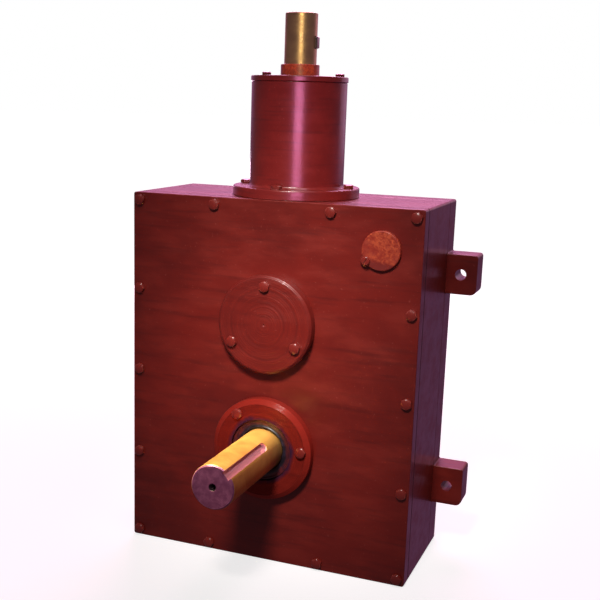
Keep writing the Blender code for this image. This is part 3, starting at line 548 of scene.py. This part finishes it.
def painted_seal(name, bare_r):
    """A rubber seal whose face outside bare_r is under greasy maroon paint."""
    seal = Shader(name, Coat_Weight=0.3, Coat_Roughness=0.3)
    grease = seal.noise(120.0, 4.0, 0.6, warp=0.5)
    dark = seal.blend(seal.span(grease, 0.45, 0.65), (0.010, 0.008, 0.014), (0.030, 0.020, 0.045))
    paint = seal.blend(seal.span(grease, 0.40, 0.62), (0.060, 0.012, 0.022), (0.120, 0.014, 0.016))
    edge = seal.maths("ADD", seal.radius_from("Y"), seal.maths("MULTIPLY", grease, 0.004))
    color = seal.blend(seal.span(edge, bare_r + 0.001, bare_r + 0.004), dark, paint)
    normal = seal.bump(grease, 0.0004, 0.6)
    return seal.finish(color, seal.span(grease, 0.3, 0.7, 0.3, 0.5), normal)


def gasket_paper(name):
    paper = Shader(name)
    fibre = paper.noise(900.0, 4.0, 0.7)
    color = paper.blend(paper.span(fibre, 0.35, 0.7), (0.05, 0.022, 0.016), (0.12, 0.05, 0.035))
    roughness = paper.span(fibre, 0.3, 0.7, 0.7, 0.9)
    return paper.finish(color, roughness, paper.bump(fibre, 0.0001, 0.8))


CASING_PAINT = enamel("maroon_enamel")
# the bolt heads get more bright patches, specks and lightened edges: worn paint, and a painted highlight on the
# heads
BOLT_PAINT = enamel("bolt_enamel", lift=0.26, chips=0.8, gloss=1.0, haze=0.28, edge_wear_highlight=1.0)
MID_CAP_PAINT = enamel("intermediate_cap_enamel", "Y", lift=-0.06)
OUTPUT_CAP_PAINT = enamel(
    "output_cap_enamel", "Y", lift=-0.04, gloss=0.1, shine=0.15, grease_sheen_to=0.045, highlight_rim_from=0.063
)
HOUSING_PAINT = enamel("housing_enamel", lift=0.03, gloss=1.0, haze=0.22, streaked=(0.2, 0.2, 5.0))
COLLAR_PAINT = orange_primer("collar_primer", (0, 0, -1), gloss=1.0, tone=1.5)
LID_PAINT = orange_primer("lid_primer", (LID[0] + LID[1]) / 2 - PIVOT)
OUTPUT_STEEL = turned_steel(
    "output_shaft_steel", "Y", warm=(0.74, 0.42, 0.12), dark=(0.60, 0.28, 0.08),
    rough=0.36, metallic=0.6, face_from=OUTPUT_SHAFT[0].y + 0.0012
)
INPUT_STEEL = turned_steel(
    "input_shaft_steel", "Z", warm=(0.74, 0.55, 0.30), dark=(0.50, 0.35, 0.23),
    rough=0.34, metallic=0.85
)
GEAR_STEEL = plain_steel("gear_steel", (0.40, 0.40, 0.41), 0.34)
BEARING_STEEL = plain_steel("bearing_steel", (0.62, 0.62, 0.63), 0.22)
KEY_STEEL = plain_steel("key_steel", (0.36, 0.33, 0.32), 0.34)
RUBBER = oily_rubber("seal_rubber")
SEAL_FACE = painted_seal("output_seal_face", 0.0345)
PAPER = gasket_paper("gasket_paper")


# Fasteners ------------------------------------------------------------------------------

RNG = random.Random(7)


def hex_radius(angle, corner_r):
    """The distance from the axis to a hexagon's edge in a direction."""
    within = (angle % (math.pi / 3)) - math.pi / 6
    return corner_r * math.cos(math.pi / 6) / math.cos(within)


def bolt_mesh(name, head_r, head_h, shank_r, shank):
    """A hexagon bolt along +Z, seated at the origin: domed head, chamfer and washer face."""
    sides = 48
    chamfer_r = head_r * 0.87
    washer = 0.0006
    edge = 0.0002
    slope = math.tan(math.radians(38))
    angles = [math.tau * i / sides for i in range(sides)]

    def ring(radius_of, height_of):
        return [
            (radius_of(a) * math.cos(a), radius_of(a) * math.sin(a), height_of(radius_of(a)))
            for a in angles
        ]

    def crown(radius):
        domed = 0.0012 * min(1.0, radius / chamfer_r) ** 2
        return head_h - domed - max(0.0, radius - chamfer_r) * slope

    rings = [
        ring(lambda a: shank_r, lambda r: -shank),
        ring(lambda a: shank_r, lambda r: -GAP),
        ring(lambda a: chamfer_r, lambda r: -GAP),
        ring(lambda a: chamfer_r, lambda r: washer),
        ring(lambda a: hex_radius(a, head_r) - edge, lambda r: washer),
        ring(lambda a: hex_radius(a, head_r), lambda r: washer + edge),
        ring(lambda a: hex_radius(a, head_r), lambda r: crown(r) - edge),
        ring(lambda a: hex_radius(a, head_r) - edge, lambda r: crown(r + edge)),
        *(ring(lambda a, share=share: chamfer_r * share, crown) for share in (1, 0.75, 0.50, 0.25)),
    ]
    shape = bmesh.new()
    loops = [[shape.verts.new(point) for point in points] for points in rings]
    for lower, upper in zip(loops, loops[1:]):
        for i in range(sides):
            j = (i + 1) % sides
            shape.faces.new((lower[i], lower[j], upper[j], upper[i]))
    shape.faces.new(loops[0])
    shape.faces.new(loops[-1])
    bmesh.ops.recalc_face_normals(shape, faces=shape.faces)
    mesh = bpy.data.meshes.new(name)
    shape.to_mesh(mesh)
    shape.free()
    mesh.shade_smooth()
    mesh.set_sharp_from_angle(angle=math.radians(38))
    return mesh


def add_bolt(name, mesh, seat, outward, material, *nodes):
    """Seats a bolt at a point, its head pointing outward, at a random turn about its axis."""
    bolt = bpy.data.objects.new(name, mesh)
    bpy.context.scene.collection.objects.link(bolt)
    turn = Vector((0, 0, 1)).rotation_difference(Vector(outward)).to_matrix().to_4x4()
    spin = Matrix.Rotation(RNG.uniform(0, math.tau), 4, "Z")
    bolt.matrix_world = Matrix.Translation(seat) @ turn @ spin
    if not mesh.materials:
        mesh.materials.append(material)
    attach(bolt, "casing")
    if nodes:
        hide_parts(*nodes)
    return bolt


def node_bolt(node, mesh, axis):
    """A detailed bolt in the place of a CAD bolt, whose head is at its low Y or high Z end."""
    low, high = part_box(node)
    middle = (low + high) / 2
    if axis == "Y":
        seat, outward = Vector((middle.x, low.y + BOLT_HEAD_H, middle.z)), (0, -1, 0)
    else:
        seat, outward = Vector((middle.x, middle.y, high.z - BOLT_HEAD_H)), (0, 0, 1)
    return add_bolt(f"{node}_painted", mesh, seat, outward, BOLT_PAINT, node)


def bolts():
    cover_mesh = bolt_mesh("cover_bolt_form", BOLT_HEAD_R, BOLT_HEAD_H, BOLT_SHANK_R, 0.038)
    cap_mesh = bolt_mesh("cap_bolt_form", BOLT_HEAD_R, BOLT_HEAD_H, BOLT_SHANK_R, 0.026)
    flange_mesh = bolt_mesh("flange_bolt_form", BOLT_HEAD_R, BOLT_HEAD_H, BOLT_SHANK_R, 0.022)
    for node in sorted(frame["nodes"]):
        if node.startswith("cover_bolt"):
            node_bolt(node, cover_mesh, "Y")
        elif "cap_bolt" in node:
            node_bolt(node, cap_mesh, "Y")
        elif node.startswith("flange_bolt"):
            node_bolt(node, flange_mesh, "Z")
    small = bolt_mesh("top_cap_bolt_form", 0.0065, 0.0045, 0.003, 0.016)
    circle_r = 0.0555
    for i in range(3):
        angle = math.radians(120 * i)
        seat = Vector((circle_r * math.cos(angle), circle_r * math.sin(angle), TOP_CAP[1].z + GAP))
        add_bolt(f"top_cap_bolt_{i + 1}", small, seat, (0, 0, 1), BOLT_PAINT)


# Casing ---------------------------------------------------------------------------------


def nodes_like(text):
    return sorted(node for node in frame["nodes"] if text in node)


def middle_of(node):
    return sum(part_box(node), Vector()) / 2


def combined(shapes):
    """One shape from several that don't touch."""
    whole = bmesh.new()
    for shape in shapes:
        mesh = bpy.data.meshes.new("shape")
        shape.to_mesh(mesh)
        shape.free()
        whole.from_mesh(mesh)
        bpy.data.meshes.remove(mesh)
    return whole


def holes(nodes, axis, low, high, radius=BOLT_HOLE_R):
    """Rods to cut where each of the CAD bolts passes."""
    rods = []
    for node in nodes:
        middle = middle_of(node)
        centre = (middle.x, 0, middle.z) if axis == "Y" else (middle.x, middle.y, 0)
        rods.append(rod(radius, low, high, axis, 24, centre))
    return combined(rods)


def casing_outline():
    half = CASING_W / 2
    corners = [(-half, 0), (half, 0), (half, CASING_H), (-half, CASING_H)]
    return rounded([(x, z, CORNER_R) for x, z in corners])


def front_cover():
    plate = prism(casing_outline(), "Y", COVER[0].y, COVER[1].y + GAP)
    cover = soften(to_object("front_cover_plate", plate), 0.0014, 3)
    low, high = COVER[0].y - THROUGH, COVER[1].y + THROUGH
    seats = [rod(radius, low, high, "Y", 96, (0, 0, z)) for z, radius in BEARING_SEATS]
    filler = rod(FILLER_HOLE_R, low, high, "Y", 64, FILLER_HOLE)
    cut(cover, *seats, filler)
    cut(cover, holes(nodes_like("cover_bolt"), "Y", low, high))
    cut(cover, holes(nodes_like("cap_bolt"), "Y", low, COVER[1].y - 0.004))
    cut(cover, holes(["filler_cover_screw"], "Y", low, COVER[0].y + 0.012, SCREW_HOLE_R))
    finished(cover, "casing", CASING_PAINT, "maroon_enamel", "front_cover")


def casing_walls():
    block = prism(casing_outline(), "Y", WALLS[0].y - GAP, WALLS[1].y + GAP)
    walls = soften(to_object("casing_walls", block), 0.0008, 2)
    wall, corner_r = 0.020, 0.006
    housing_bore_r, plug_r, blind_depth = 0.040, 0.0083, 0.022
    half = CASING_W / 2 - wall
    corners = [(-half, wall), (half, wall), (half, CASING_H - wall), (-half, CASING_H - wall)]
    inside = rounded([(x, z, corner_r) for x, z in corners])
    low, high = WALLS[0].y - THROUGH, WALLS[1].y + THROUGH
    plug = middle_of("drain_plug")
    cut(
        walls,
        prism(inside, "Y", low, high),
        rod(housing_bore_r, CASING_H - 2 * wall, CASING_H + THROUGH, "Z", 96),
        rod(plug_r, -CASING_W / 2 - THROUGH, -half + 0.005, "X", 32, (0, plug.y, plug.z)),
    )
    cut(walls, holes(nodes_like("cover_bolt"), "Y", low, WALLS[0].y + blind_depth))
    finished(walls, "casing", CASING_PAINT, "maroon_enamel", "casing_frame")


def back_plate():
    """The thick back plate, one with its four lugs, which are filleted into its sides."""
    half, tip = CASING_W / 2, PLATE[1].x
    side = [(half, 0, CORNER_R)]
    for z in LUG_ZS:
        foot, head = z - LUG_H / 2, z + LUG_H / 2
        side += [(half, foot, 0.002), (tip, foot, 0.008), (tip, head, 0.004), (half, head, 0.002)]
    side.append((half, CASING_H, CORNER_R))
    other = [(-x, z, radius) for x, z, radius in reversed(side)]
    outline = rounded(side + other)
    plate = to_object("back_plate_with_lugs", prism(outline, "Y", PLATE[0].y, PLATE[1].y))
    soften(plate, 0.0014, 3)
    seat_depth = 0.024
    low, high = PLATE[0].y - THROUGH, PLATE[1].y + THROUGH
    for x in LUG_XS:
        for z in LUG_ZS:
            cut(plate, rod(LUG_HOLE_R, low, high, "Y", 48, (x, 0, z)))
    for z, radius in BEARING_SEATS:
        cut(plate, rod(radius, 0, PLATE[0].y + seat_depth, "Y", 96, (0, 0, z)))
    finished(plate, "casing", CASING_PAINT, "maroon_enamel", "back_plate")


def bearing_cap(name, node, inner_r, pilot, hollow_y, rim, material, bolt_name):
    """A turned cap with a chamfered rim, and behind it a pilot hollowed as far as hollow_y.

    inner_r is 0 for a blind cap, whose centre mark is drilled.
    """
    low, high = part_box(node)
    centre_z = (low.z + high.z) / 2
    radius = (high.x - low.x) / 2
    bore = max(inner_r, 0.027)
    back = FRONT_Y
    front = low.y
    profile = [
        (inner_r, front, 0.0004 if inner_r else 0),
        (radius - rim, front, 0.0010),
        (radius - 0.0004, front + 0.7 * rim, 0.0012),
        (radius, front + 0.7 * rim + 0.0006, 0.0004),
        (radius, back, 0.0006),
        (pilot, back, 0),
        (pilot, high.y, 0.0003),
        (bore, high.y, 0),
        (bore, hollow_y, 0),
    ]
    if not inner_r:
        profile.append((0, hollow_y, 0))
        profile[0:1] = [(0, front + 0.0018, 0), (0.0016, front + 0.0004, 0), (0.0020, front, 0)]
    cap = lathed(name, profile, "Y", 5, closed=bool(inner_r))
    cap.location.z = centre_z
    for bolt in nodes_like(bolt_name):
        middle = middle_of(bolt)
        centre = (middle.x, 0, middle.z - centre_z)
        cut(cap, rod(0.0044, front - THROUGH, back + THROUGH, "Y", 32, centre))
    finished(cap, "casing", material, "maroon_enamel", node)


def output_seal():
    low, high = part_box("output_oil_seal")
    radius = (high.x - low.x) / 2
    lip = OUTPUT_R + 0.0006
    profile = [
        (radius, low.y, 0.0008),
        (radius, high.y, 0),
        (lip + 0.004, high.y, 0),
        (lip, high.y - 0.004, 0),
        (lip, low.y + 0.0030, 0.0004),
        (lip + 0.0022, low.y + 0.0004, 0.0006),
        (lip + 0.0040, low.y + 0.0016, 0.0008),
        (radius - 0.0035, low.y + 0.0016, 0.0008),
        (radius - 0.0025, low.y, 0.0004),
    ]
    seal = lathed("output_lip_seal", profile, "Y")
    seal.location.z = OUTPUT_Z
    finished(seal, "casing", SEAL_FACE, "seal_rubber", "output_oil_seal")


def filler_lid():
    """The round cover over the filler hole, with the ear that its one screw passes through."""
    front, back = LID[0].y, LID[1].y

    def disc(radius, sides, centre=(0, 0, 0)):
        corners = [(0, front, 0), (radius, front, 0.0014), (radius, back, 0.0003), (0, back, 0)]
        return turned(rounded(corners, 4, False), "Y", sides, centre)

    x, z = FILLER_HOLE.x - PIVOT.x, FILLER_HOLE.z - PIVOT.z
    lid = to_object("filler_lid_disc", disc((LID[1].z - LID[0].z) / 2, 96, (x, 0, z)))
    ear_r = 0.008
    ear = to_object("ear", disc(ear_r, 64))
    union = lid.modifiers.new("ear", "BOOLEAN")
    union.operation = "UNION"
    union.object = ear
    settle(lid)
    bpy.data.objects.remove(ear, do_unlink=True)
    cut(lid, rod(0.0034, front - THROUGH, back + THROUGH, "Y", 32))
    lid.location = (PIVOT.x, 0, PIVOT.z)
    finished(lid, "filler_lid", LID_PAINT, "primer_orange", "filler_cover")


def filler_screw():
    """The slotted screw that the filler lid swings on."""
    low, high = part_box("filler_cover_screw")
    seat = LID[0].y - GAP
    head_r, shank_r = 0.0055, 0.003
    profile = [
        (0, low.y, 0),
        (head_r, low.y, 0.0014),
        (head_r, seat, 0),
        (shank_r, seat, 0),
        (shank_r, high.y, 0),
        (0, high.y, 0),
    ]
    screw = lathed("filler_lid_screw", profile, "Y", 5, False, 48)
    screw.location = (PIVOT.x, 0, PIVOT.z)
    slot = prism(rectangle(0.0006, -0.007, 0.007), "Y", low.y - THROUGH, low.y + 0.0012)
    turn = Matrix.Rotation(math.radians(35), 3, "Y")
    bmesh.ops.rotate(slot, verts=slot.verts, cent=(0, 0, 0), matrix=turn)
    cut(screw, slot)
    finished(screw, "casing", BOLT_PAINT, "maroon_enamel", "filler_cover_screw")


def drain_plug():
    low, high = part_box("drain_plug")
    middle = (low + high) / 2
    head_h = 0.0085
    mesh = bolt_mesh("drain_plug_form", 0.0135, head_h, 0.008, 0.018)
    seat = Vector((low.x + head_h, middle.y, middle.z))
    plug = add_bolt("drain_plug_hexagon", mesh, seat, (-1, 0, 0), KEY_STEEL, "drain_plug")


# Input side -----------------------------------------------------------------------------


def input_housing():
    low, high = HOUSING
    radius, wall_r = (high.x - low.x) / 2, 0.0632
    flange_top = low.z + 0.0125
    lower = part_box("input_lower_bearing_cup")
    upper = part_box("input_upper_bearing_cup")
    seat, land = 0.0454, 0.040
    profile = [
        (radius, low.z, 0.0006),
        (radius, flange_top, 0.0020),
        (wall_r, flange_top, 0.0035),
        (wall_r, high.z, 0.0012),
        (seat, high.z, 0.0005),
        (seat, upper[0].z - 0.001, 0),
        (land, upper[0].z - 0.001, 0),
        (land, lower[1].z + 0.001, 0),
        (seat, lower[1].z + 0.001, 0),
        (seat, low.z, 0),
    ]
    housing = lathed("input_housing_casting", profile, steps=6)
    bolt_holes = holes(nodes_like("flange_bolt"), "Z", low.z - THROUGH, flange_top + THROUGH)
    cut(housing, bolt_holes)
    finished(housing, "casing", HOUSING_PAINT, "maroon_enamel", "input_housing")


def input_cap_and_seal():
    low, high = TOP_CAP
    radius = (high.x - low.x) / 2
    rim_low = HOUSING[1].z + GAP
    seal_r, pilot = 0.034, 0.0445
    profile = [
        (seal_r, high.z, 0.0005),
        (radius, high.z, 0.0014),
        (radius, rim_low, 0.0008),
        (pilot, rim_low, 0),
        (pilot, low.z, 0.0004),
        (seal_r + 0.003, low.z, 0),
        (seal_r + 0.003, rim_low - 0.006, 0),
        (seal_r, rim_low - 0.006, 0),
    ]
    cap = lathed("input_cap_ring", profile, steps=5)
    finished(cap, "casing", HOUSING_PAINT, "maroon_enamel", "input_top_cap")
    low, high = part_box("input_oil_seal")
    lip = COLLAR_R + 0.0006
    profile = [
        (seal_r - GAP, high.z, 0.0006),
        (lip + 0.002, high.z, 0.0006),
        (lip, high.z - 0.002, 0.0003),
        (lip, high.z - 0.005, 0),
        (lip + 0.003, low.z, 0),
        (seal_r - GAP, low.z, 0),
    ]
    seal = lathed("input_lip_seal", profile)
    finished(seal, "casing", RUBBER, "seal_rubber", "input_oil_seal")


# Shafts ---------------------------------------------------------------------------------


def output_shaft():
    """The output shaft, turned about its joint's axis, with its centre drilling and keyway."""
    tip, end = OUTPUT_SHAFT[0].y, OUTPUT_SHAFT[1].y
    seat_y = FRONT_Y + 0.001
    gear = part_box("output_gear")
    front_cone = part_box("output_front_bearing_cone")
    rear_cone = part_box("output_rear_bearing_cone")
    shoulder = (OUTPUT_SHAFT[1].x - OUTPUT_SHAFT[0].x) / 2
    cone_seat_r, gear_seat_r, rear_shoulder_r = 0.030, 0.0325, 0.034
    profile = [
        (0, tip + 0.011, 0),
        (0.0018, tip + 0.0085, 0),
        (0.0018, tip + 0.0045, 0),
        (0.0042, tip + 0.0006, 0),
        (0.0050, tip, 0.0003),
        (OUTPUT_R - 0.0018, tip, 0.0003),
        (OUTPUT_R, tip + 0.0018, 0.0004),
        (OUTPUT_R, seat_y, 0),
        (cone_seat_r, seat_y, 0.0004),
        (cone_seat_r, front_cone[1].y + GAP, 0),
        (gear_seat_r, front_cone[1].y + GAP, 0.0004),
        (gear_seat_r, gear[1].y + GAP, 0),
        (shoulder, gear[1].y + GAP, 0.0006),
        (shoulder, rear_cone[0].y - 0.006, 0),
        (rear_shoulder_r, rear_cone[0].y - GAP, 0),
        (cone_seat_r, rear_cone[0].y - GAP, 0),
        (cone_seat_r, end, 0.001),
        (0, end, 0),
    ]
    shaft = lathed("output_shaft_turned", profile, "Y", closed=False)
    half = KEYWAY_W / 2
    inner = tip + KEYWAY_LENGTH - half
    outline = [(-half, tip - THROUGH), (half, tip - THROUGH)]
    outline += arc((0, inner), half, [math.pi * i / 16 for i in range(17)])
    slot = prism(outline, "Z", OUTPUT_R - KEYWAY_DEPTH, OUTPUT_R + THROUGH)
    turn = Matrix.Rotation(math.radians(90 - KEYWAY_TURN), 3, "Y")
    bmesh.ops.rotate(slot, verts=slot.verts, cent=(0, 0, 0), matrix=turn)
    cut(shaft, slot)
    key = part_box("output_gear_key")
    width = (key[1].x - key[0].x) / 2 + GAP
    seat = rectangle(width, 0.0255, 2 * gear_seat_r)
    cut(shaft, prism(seat, "Y", key[0].y - GAP, key[1].y + GAP))
    shaft.location.z = OUTPUT_Z
    finished(shaft, "output", OUTPUT_STEEL, "shaft_steel", "output_shaft")


def input_shaft():
    """The input shaft above and inside the housing, and the painted collar at the seal."""
    low, top = INPUT_SHAFT[0].z, INPUT_SHAFT[1].z
    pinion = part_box("bevel_pinion")
    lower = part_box("input_lower_bearing_cone")
    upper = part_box("input_upper_bearing_cone")
    thread_r, pinion_seat_r, neck_r, flange_r, cone_seat_r = 0.0115, 0.014, 0.0215, 0.029, 0.025
    flange_low = lower[0].z - 0.016
    profile = [
        (0, low, 0),
        (thread_r, low, 0.001),
        (thread_r, pinion[0].z - GAP, 0),
        (pinion_seat_r, pinion[0].z - GAP, 0.0004),
        (pinion_seat_r, pinion[1].z + GAP, 0),
        (neck_r, pinion[1].z + GAP, 0.0006),
        (neck_r, flange_low, 0),
        (flange_r, flange_low, 0.0006),
        (flange_r, lower[0].z - GAP, 0.0006),
        (cone_seat_r, lower[0].z - GAP, 0),
        (cone_seat_r, upper[1].z + 0.002, 0),
        (0.0212, upper[1].z + 0.002, 0),
        (INPUT_R, COLLAR_TOP_Z, 0),
        (INPUT_R, top, 0.0015),
        (0.0045, top, 0.0003),
        (0.0016, top - 0.0040, 0),
        (0.0016, top - 0.0080, 0),
        (0, top - 0.0095, 0),
    ]
    shaft = lathed("input_shaft_turned", profile, closed=False)
    key_low, key_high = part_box("input_shaft_key")
    radius = (key_high.z - key_low.z) / 2 + 0.0004
    centre = (INPUT_R - 0.001, (key_low.z + key_high.z) / 2)
    moon = arc(centre, radius, [math.tau * i / 48 for i in range(48)])
    cut(shaft, prism(moon, "Y", key_low.y - GAP, key_high.y + GAP))
    pinion_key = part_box("bevel_pinion_key")
    floor_x, half = pinion_key[0].x - GAP, 0.0043
    slot = [(floor_x, -half), (0.02, -half), (0.02, half), (floor_x, half)]
    cut(shaft, prism(slot, "Z", pinion_key[0].z - GAP, pinion_key[1].z + GAP))
    finished(shaft, "input", INPUT_STEEL, "shaft_steel", "input_shaft")
    bore, collar_low = INPUT_R + 0.00005, upper[1].z + 0.003
    collar = [
        (bore, COLLAR_TOP_Z, 0.0002),
        (COLLAR_R, COLLAR_TOP_Z, 0.0012),
        (COLLAR_R, collar_low, 0),
        (bore, collar_low, 0),
    ]
    sleeve = lathed("input_shaft_collar", collar, steps=5)
    finished(sleeve, "input", COLLAR_PAINT, "primer_orange")


def inner_parts():
    """Materials for the CAD pieces that stay as they are."""
    by_slot = {
        "gear_steel": GEAR_STEEL,
        "bearing_steel": BEARING_STEEL,
        "shaft_steel": KEY_STEEL,
        "gasket_paper": PAPER,
        "seal_rubber": RUBBER,
        "maroon_enamel": CASING_PAINT,
        "primer_orange": LID_PAINT,
    }
    slots = {part["node"]: part["material_slot"] for part in frame["record"]["subparts"]}
    for name, node in frame["nodes"].items():
        node.data.materials.clear()
        node.data.materials.append(by_slot[slots[name]])


# Studio ---------------------------------------------------------------------------------


def aimed(name, light, location, target):
    lamp = bpy.data.objects.new(name, light)
    lamp.location = location
    lamp.rotation_euler = (Vector(target) - Vector(location)).to_track_quat("-Z", "Y").to_euler()
    lamp.visible_camera = False
    bpy.context.scene.collection.objects.link(lamp)
    return lamp


def area_light(name, location, target, size, energy, color):
    light = bpy.data.lights.new(name, "AREA")
    light.shape = "RECTANGLE"
    light.size, light.size_y = size
    light.energy = energy
    light.color = color
    return aimed(name, light, location, target)


def spot_light(name, location, target, half_angle, radius, energy, color):
    light = bpy.data.lights.new(name, "SPOT")
    light.spot_size = 2 * half_angle
    light.spot_blend = 1.0
    light.shadow_soft_size = radius
    light.energy = energy
    light.color = color
    return aimed(name, light, location, target)


def floor_and_world():
    """A pale floor that fades into a white background, and what the paint reflects.

    The camera sees white. Everything else sees a dim room, with a pink glow over the horizon
    behind and violet under it, which the top face, the round edges and the gloss pick up.
    """
    shape = bmesh.new()
    bmesh.ops.create_circle(shape, cap_ends=True, segments=64, radius=40)
    floor = to_object("floor", shape)
    pale = Shader(
        "pale_floor", Base_Color=(0.42, 0.42, 0.42, 1), Roughness=0.9, Specular_IOR_Level=0.0,
        Emission_Color=(1, 1, 1, 1)
    )
    distance = pale.node("ShaderNodeVectorMath", operation="LENGTH")
    pale.set(distance.inputs[0], pale.position)
    glow = pale.span(distance.outputs["Value"], 0.3, 2.2, 0.78, 1.0)
    pale.set(pale.surface.inputs["Emission Strength"], glow)
    pale.material.cycles.emission_sampling = "NONE"
    floor.data.materials.append(pale.material)
    floor.location.z = -0.0002
    floor.visible_diffuse = False
    floor.visible_glossy = False

    world = bpy.data.worlds.new("studio")
    bpy.context.scene.world = world
    world.use_nodes = True
    nodes, links = world.node_tree.nodes, world.node_tree.links
    white = nodes["Background"]
    white.inputs["Color"].default_value = (1, 1, 1, 1)
    room = nodes.new("ShaderNodeBackground")
    direction = nodes.new("ShaderNodeSeparateXYZ")
    links.new(nodes.new("ShaderNodeTexCoord").outputs["Generated"], direction.inputs[0])

    def ramp(part, low, high):
        made = nodes.new("ShaderNodeMapRange")
        made.interpolation_type = "SMOOTHSTEP"
        made.inputs["From Min"].default_value = low
        made.inputs["From Max"].default_value = high
        links.new(direction.outputs[part], made.inputs["Value"])
        return made.outputs["Result"]

    def times(first, second):
        made = nodes.new("ShaderNodeMath")
        made.operation = "MULTIPLY"
        links.new(first, made.inputs[0])
        links.new(second, made.inputs[1])
        return made.outputs[0]

    def tinted(share, under, color):
        made = nodes.new("ShaderNodeMix")
        made.data_type = "RGBA"
        links.new(share, made.inputs["Factor"])
        if isinstance(under, tuple):
            made.inputs[6].default_value = under
        else:
            links.new(under, made.inputs[6])
        made.inputs[7].default_value = color
        return made.outputs[2]

    behind = ramp("Y", 0.25, 0.75)
    low_behind = times(behind, ramp("Z", 0.02, -0.10))
    glow_behind = times(times(behind, ramp("Z", -0.06, 0.06)), ramp("X", 0.25, -0.10))
    dim, violet, pink = (0.16, 0.10, 0.12, 1), (0.30, 0.12, 0.26, 1), (0.95, 0.36, 0.74, 1)
    color = tinted(glow_behind, tinted(low_behind, dim, violet), pink)
    links.new(color, room.inputs["Color"])
    room.inputs["Strength"].default_value = 0.62
    seen = nodes.new("ShaderNodeMixShader")
    links.new(nodes.new("ShaderNodeLightPath").outputs["Is Camera Ray"], seen.inputs[0])
    links.new(room.outputs[0], seen.inputs[1])
    links.new(white.outputs[0], seen.inputs[2])
    links.new(seen.outputs[0], nodes["World Output"].inputs["Surface"])


def only_on(lamp, *names):
    """Limits a lamp to the pieces that it is there to show."""
    lit = bpy.data.collections.new(f"{lamp.name}_lit")
    for name in names:
        lit.objects.link(bpy.data.objects[name])
    lamp.light_linking.receiver_collection = lit


def studio():
    floor_and_world()
    front = Vector((0.024, FRONT_Y, 0.316))
    spot_light("key", (0.14, -0.98, 1.22), front, math.radians(12.2), 0.13, 91, (1.0, 0.92, 0.86))
    shaft_middle = (0, -0.185, OUTPUT_Z)
    shaft_light = spot_light(
        "shaft_light", (-0.42, -0.32, 1.10), shaft_middle, math.radians(10), 0.05, 190,
        (1.0, 0.86, 0.52)
    )
    only_on(shaft_light, "output_shaft_turned")
    area_light("overhead", (0.25, -0.35, 1.7), (0, 0, 0.5), (0.5, 0.5), 4.5, (1.0, 0.62, 0.78))
    strip_low = area_light(
        "strip_low", (0.44, -1.18, 0.57), (0, 0, 0.57), (0.40, 0.36), 5.0, (1.0, 0.28, 0.58)
    )
    only_on(strip_low, "input_housing_casting", "input_cap_ring")
    strip_high = area_light(
        "strip_high", (0.44, -1.18, 0.86), (0, 0, 0.70), (0.28, 0.30), 3.0, (1.0, 0.78, 0.42)
    )
    only_on(strip_high, "input_shaft_turned", "input_shaft_collar")
    area_light("fill_back", (-0.5, 1.6, 2.0), (0, 0, 0.3), (1.2, 1.2), 45, (1.0, 0.44, 0.76))
    area_light("fill_left", (-1.0, 1.8, 0.12), (0, 0, 0.3), (0.8, 0.6), 12, (1.0, 0.66, 0.86))
    area_light("fill_right", (0.85, 1.9, 1.0), (0, 0, 0.3), (1.4, 1.2), 3, (1.0, 0.50, 0.80))


def camera():
    """Three-quarter view from the right of the front cover, a little above the casing."""
    yaw, pitch, roll = (math.radians(angle) for angle in (22.28, 12.49, 1.48))
    right = Vector((math.cos(yaw), math.sin(yaw), 0))
    level = Vector((math.sin(yaw), -math.cos(yaw), 0))
    back = level * math.cos(pitch) + Vector((0, 0, math.sin(pitch)))
    up = back.cross(right)
    turned_right = right * math.cos(roll) + up * math.sin(roll)
    turned_up = up * math.cos(roll) - right * math.sin(roll)
    lens = bpy.data.cameras.new("camera")
    lens.sensor_width = 36
    lens.lens = 61.6
    lens.shift_x, lens.shift_y = 0.07, 0.047
    lens.clip_end = 100
    eye = bpy.data.objects.new("camera", lens)
    bpy.context.scene.collection.objects.link(eye)
    turn = Matrix((turned_right, turned_up, back)).transposed()
    eye.matrix_world = Matrix.Translation((0.485, -1.3066, 0.6153)) @ turn.to_4x4()
    bpy.context.scene.camera = eye
    bpy.context.scene.view_settings.view_transform = "Standard"


camera()
inner_parts()
front_cover()
casing_walls()
back_plate()
bearing_cap(
    "intermediate_cap_turned", "intermediate_bearing_cap", inner_r=0, pilot=0.0355,
    hollow_y=FRONT_Y - 0.006, rim=0.0030, material=MID_CAP_PAINT, bolt_name="intermediate_cap_bolt"
)
bearing_cap(
    "output_cap_turned", "output_bearing_cap", inner_r=0.0421, pilot=0.0470,
    hollow_y=FRONT_Y - 0.002, rim=0.0065, material=OUTPUT_CAP_PAINT, bolt_name="output_cap_bolt"
)
output_seal()
filler_lid()
filler_screw()
drain_plug()
input_housing()
input_cap_and_seal()
input_shaft()
output_shaft()
bolts()
studio()
